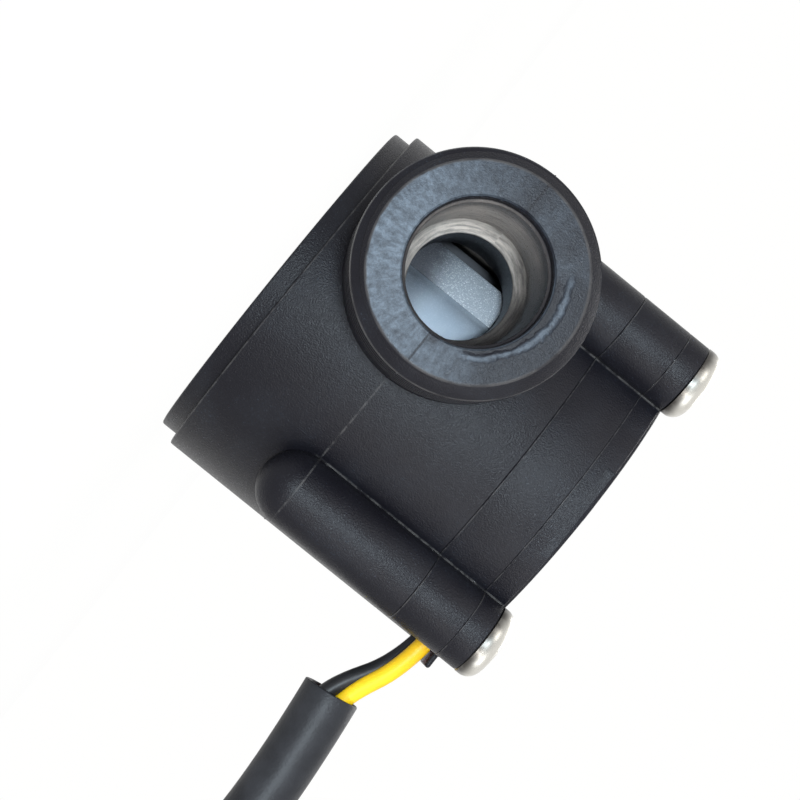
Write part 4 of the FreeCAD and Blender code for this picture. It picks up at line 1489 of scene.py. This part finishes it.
@dataclass
class CapPlate:
    """The thin cap with its raised flow arrow and the lip over the wires."""

    radius: float = BODY_RADIUS
    low: float = 31.9
    rim: float = 34.1
    top: float = 34.6
    arrow_top: float = 35.0
    rim_width: float = 1.7
    arrow_width: float = 1.8
    tail: float = 14.0
    head_start: float = 7.0
    head: float = 7.0
    sunk: float = 0.3

    def arrow(self) -> Piece:
        """Extrude the arrow that shows which way the water runs.

        Returns:
            The arrow.
        """
        start, half, end = self.top - self.sunk, self.arrow_width / 2, self.head_start
        shaft = block("arrow", (-self.tail, -half, start), (end + 1, half, self.arrow_top), 0.12)
        clear_selection()
        bpy.ops.mesh.primitive_circle_add(vertices=3, radius=1, fill_type="NGON",
                                          rotation=(0, 0, -math.pi / 2))
        head = bpy.context.object
        settle(head)
        head.scale = (self.head / 1.5 * MM, self.head / math.sqrt(3) * MM, 1)
        head.location = ((end + self.head / 3) * MM, 0, start * MM)
        settle(head)
        open_all(head)
        rise = (self.arrow_top - start) * MM
        bpy.ops.mesh.extrude_region_move(TRANSFORM_OT_translate={"value": (0, 0, rise)})
        close_outwards()
        beveled(head, 0.12)
        return joined(shaft, [head], Join.ADD)

    def build(self) -> Piece:
        """Turn the cap, add its bosses, arrow and lip and cut its holes.

        Returns:
            The finished piece.
        """
        inner = self.radius - self.rim_width
        piece = turned("cap", eased([
            (17.2, self.low, 0), (self.radius, self.low, 0.1), (self.radius, self.rim, 0.2),
            (inner + 0.1, self.rim, 0.1), (inner, self.top, 0.2), (14.0, self.top, 0)]), 192)
        lip = block("lip", (-5.6, -19.8, 32.95), (-0.6, -17, 33.5), 0.24)
        joined(piece, [*boss_rings(self.low, self.rim, 0.1, 0.14), self.arrow(), lip], Join.ADD)
        holes = at_bosses(turned("hole", [(SCREW_HOLE, 31), (SCREW_HOLE, 35)], 40))
        slot = block("slot", (-6.05, -18.6, 31), (-0.15, -9, 32.95))
        flat = block("flat", (-19, -8.1, 33.2), (-17.6, 3.9, 36))
        joined(piece, [*holes, slot, flat], Join.CUT)
        smoothed(piece, 30)
        return dress(piece, "black_nylon", Body.HOUSING, "cap_plate")


@dataclass
class Screws:
    """The four pan-head screws that hold cap, cover and body together."""

    shank: float = 1.75
    low: float = 16.1
    point: float = 1.2
    seat: float = 34.1
    head: float = 3.55
    head_high: float = 1.8
    crown: float = 1.3
    slot: float = 0.9
    reach: float = 3.8
    deep: float = 1.2
    turns: tuple[float, ...] = (20.0, 65.0, 8.0, 48.0)
    names: tuple[str, ...] = ("front_left", "front_right", "rear_left", "rear_right")

    def first(self) -> Piece:
        """Turn one screw and cut its cross.

        Returns:
            The screw, on the Z axis.
        """
        top = self.seat + self.head_high
        arc = [(self.head - self.crown + self.crown * math.cos(math.radians(angle)),
                top - self.crown + self.crown * math.sin(math.radians(angle)))
               for angle in range(0, 91, 10)]
        profile = [(0.6, self.low), (self.shank, self.low + self.point), (self.shank, self.seat),
                   (self.head - 0.12, self.seat), (self.head, self.seat + 0.1), *arc]
        piece = turned("screw", profile, 64)
        floor, half, wide = top - self.deep, self.reach / 2, self.slot / 2
        arms = [block("arm", (-x, -y, floor), (x, y, top + 1)) for x, y in ((half, wide), (wide, half))]
        return joined(piece, arms, Join.CUT)

    def build(self) -> None:
        """Make one screw and copy it to the four bosses."""
        first = self.first()
        pieces = [first, *(copied(first, "screw") for _ in self.names[1:])]
        for piece, name, turn, (x, y) in zip(pieces, self.names, self.turns, BOSSES):
            placed(piece, (x, y, 0), (0, 0, turn))
            piece.name = f"screw_{name}"
            smoothed(piece, 30)
            dress(piece, "screw_steel", Body.HOUSING, f"cover_screw_{name}")


@dataclass
class Wheel:
    """The turbine wheel with its six blades."""

    tip: float = 13.3
    low: float = 8.5
    high: float = 17.9
    hub: float = 7.0
    hub_low: float = 8.15
    hub_high: float = 18.45
    gap: float = 4.1
    gap_place: float = 11.6
    turn: float = 162.6
    blades: int = 6
    magnet: float = 2.0
    magnet_place: float = 4.7

    def gap_cutter(self) -> Piece:
        """The round-bottomed gap between two blades.

        Returns:
            The solid to cut out.
        """
        piece = placed(turned("gap", [(self.gap, 7), (self.gap, 20)], 64), (self.gap_place, 0, 0))
        mouth = block("gap", (self.gap_place, -self.gap, 7), (self.tip + 3, self.gap, 20))
        return joined(piece, [mouth], Join.ADD)

    def build(self) -> Piece:
        """Turn the wheel, cut its gaps, magnet pockets and bore.

        Returns:
            The finished piece.
        """
        piece = turned("wheel", [(self.tip, self.low), (self.tip, self.high)], 192)
        first = self.gap_cutter()
        gaps = [first, *(copied(first, "gap") for _ in range(self.blades - 1))]
        step = 360 / self.blades
        joined(piece, [placed(gap, (0, 0, 0), (0, 0, self.turn + step * index))
                       for index, gap in enumerate(gaps)], Join.CUT)
        hub = turned("hub", [(self.hub, self.hub_low), (self.hub, self.hub_high)], 96)
        joined(piece, [hub], Join.ADD)
        angle = math.radians(self.turn)
        pockets = [placed(turned("pocket", [(self.magnet + 0.02, 15.8), (self.magnet + 0.02, 19)], 48),
                          (side * self.magnet_place * math.cos(angle),
                           side * self.magnet_place * math.sin(angle), 0)) for side in (-1, 1)]
        bore = turned("bore", [(1.05, 7), (1.05, 20)], 48)
        joined(piece, [*pockets, bore], Join.CUT)
        cleaned(piece)
        beveled(piece, 0.14)
        smoothed(piece, 35)
        return dress(piece, "wheel_plastic", Body.ROTOR, "turbine_wheel")


KEPT_NODES: dict[str, str] = {
    "cover_seal": "seal_rubber", "wheel_magnet_a": "magnet_plating", "wheel_magnet_b": "magnet_plating",
    "wheel_shaft": "shaft_steel", "lower_washer": "washer_plastic", "upper_washer": "washer_plastic",
    "circuit_board": "board_laminate", "hall_switch": "switch_case",
    "board_capacitor": "capacitor_ceramic", "board_resistor": "resistor_ceramic",
}


def dress_kept_nodes() -> None:
    """Give each solid that stays its own finish."""
    for node, slot in KEPT_NODES.items():
        mesh = bpy.data.objects[node].data
        mesh.materials.clear()
        mesh.materials.append(finish_named(slot))
        log.info("dressed %s, %s", node, slot)


def main() -> None:
    """Build the sensor piece by piece."""
    logging.basicConfig(level=logging.INFO, format="%(message)s")
    Studio().build()
    Lead().build()
    Housing().build()
    Cover().build()
    CapPlate().build()
    Screws().build()
    Wheel().build()
    dress_kept_nodes()


if __name__ == "__main__":
    main()
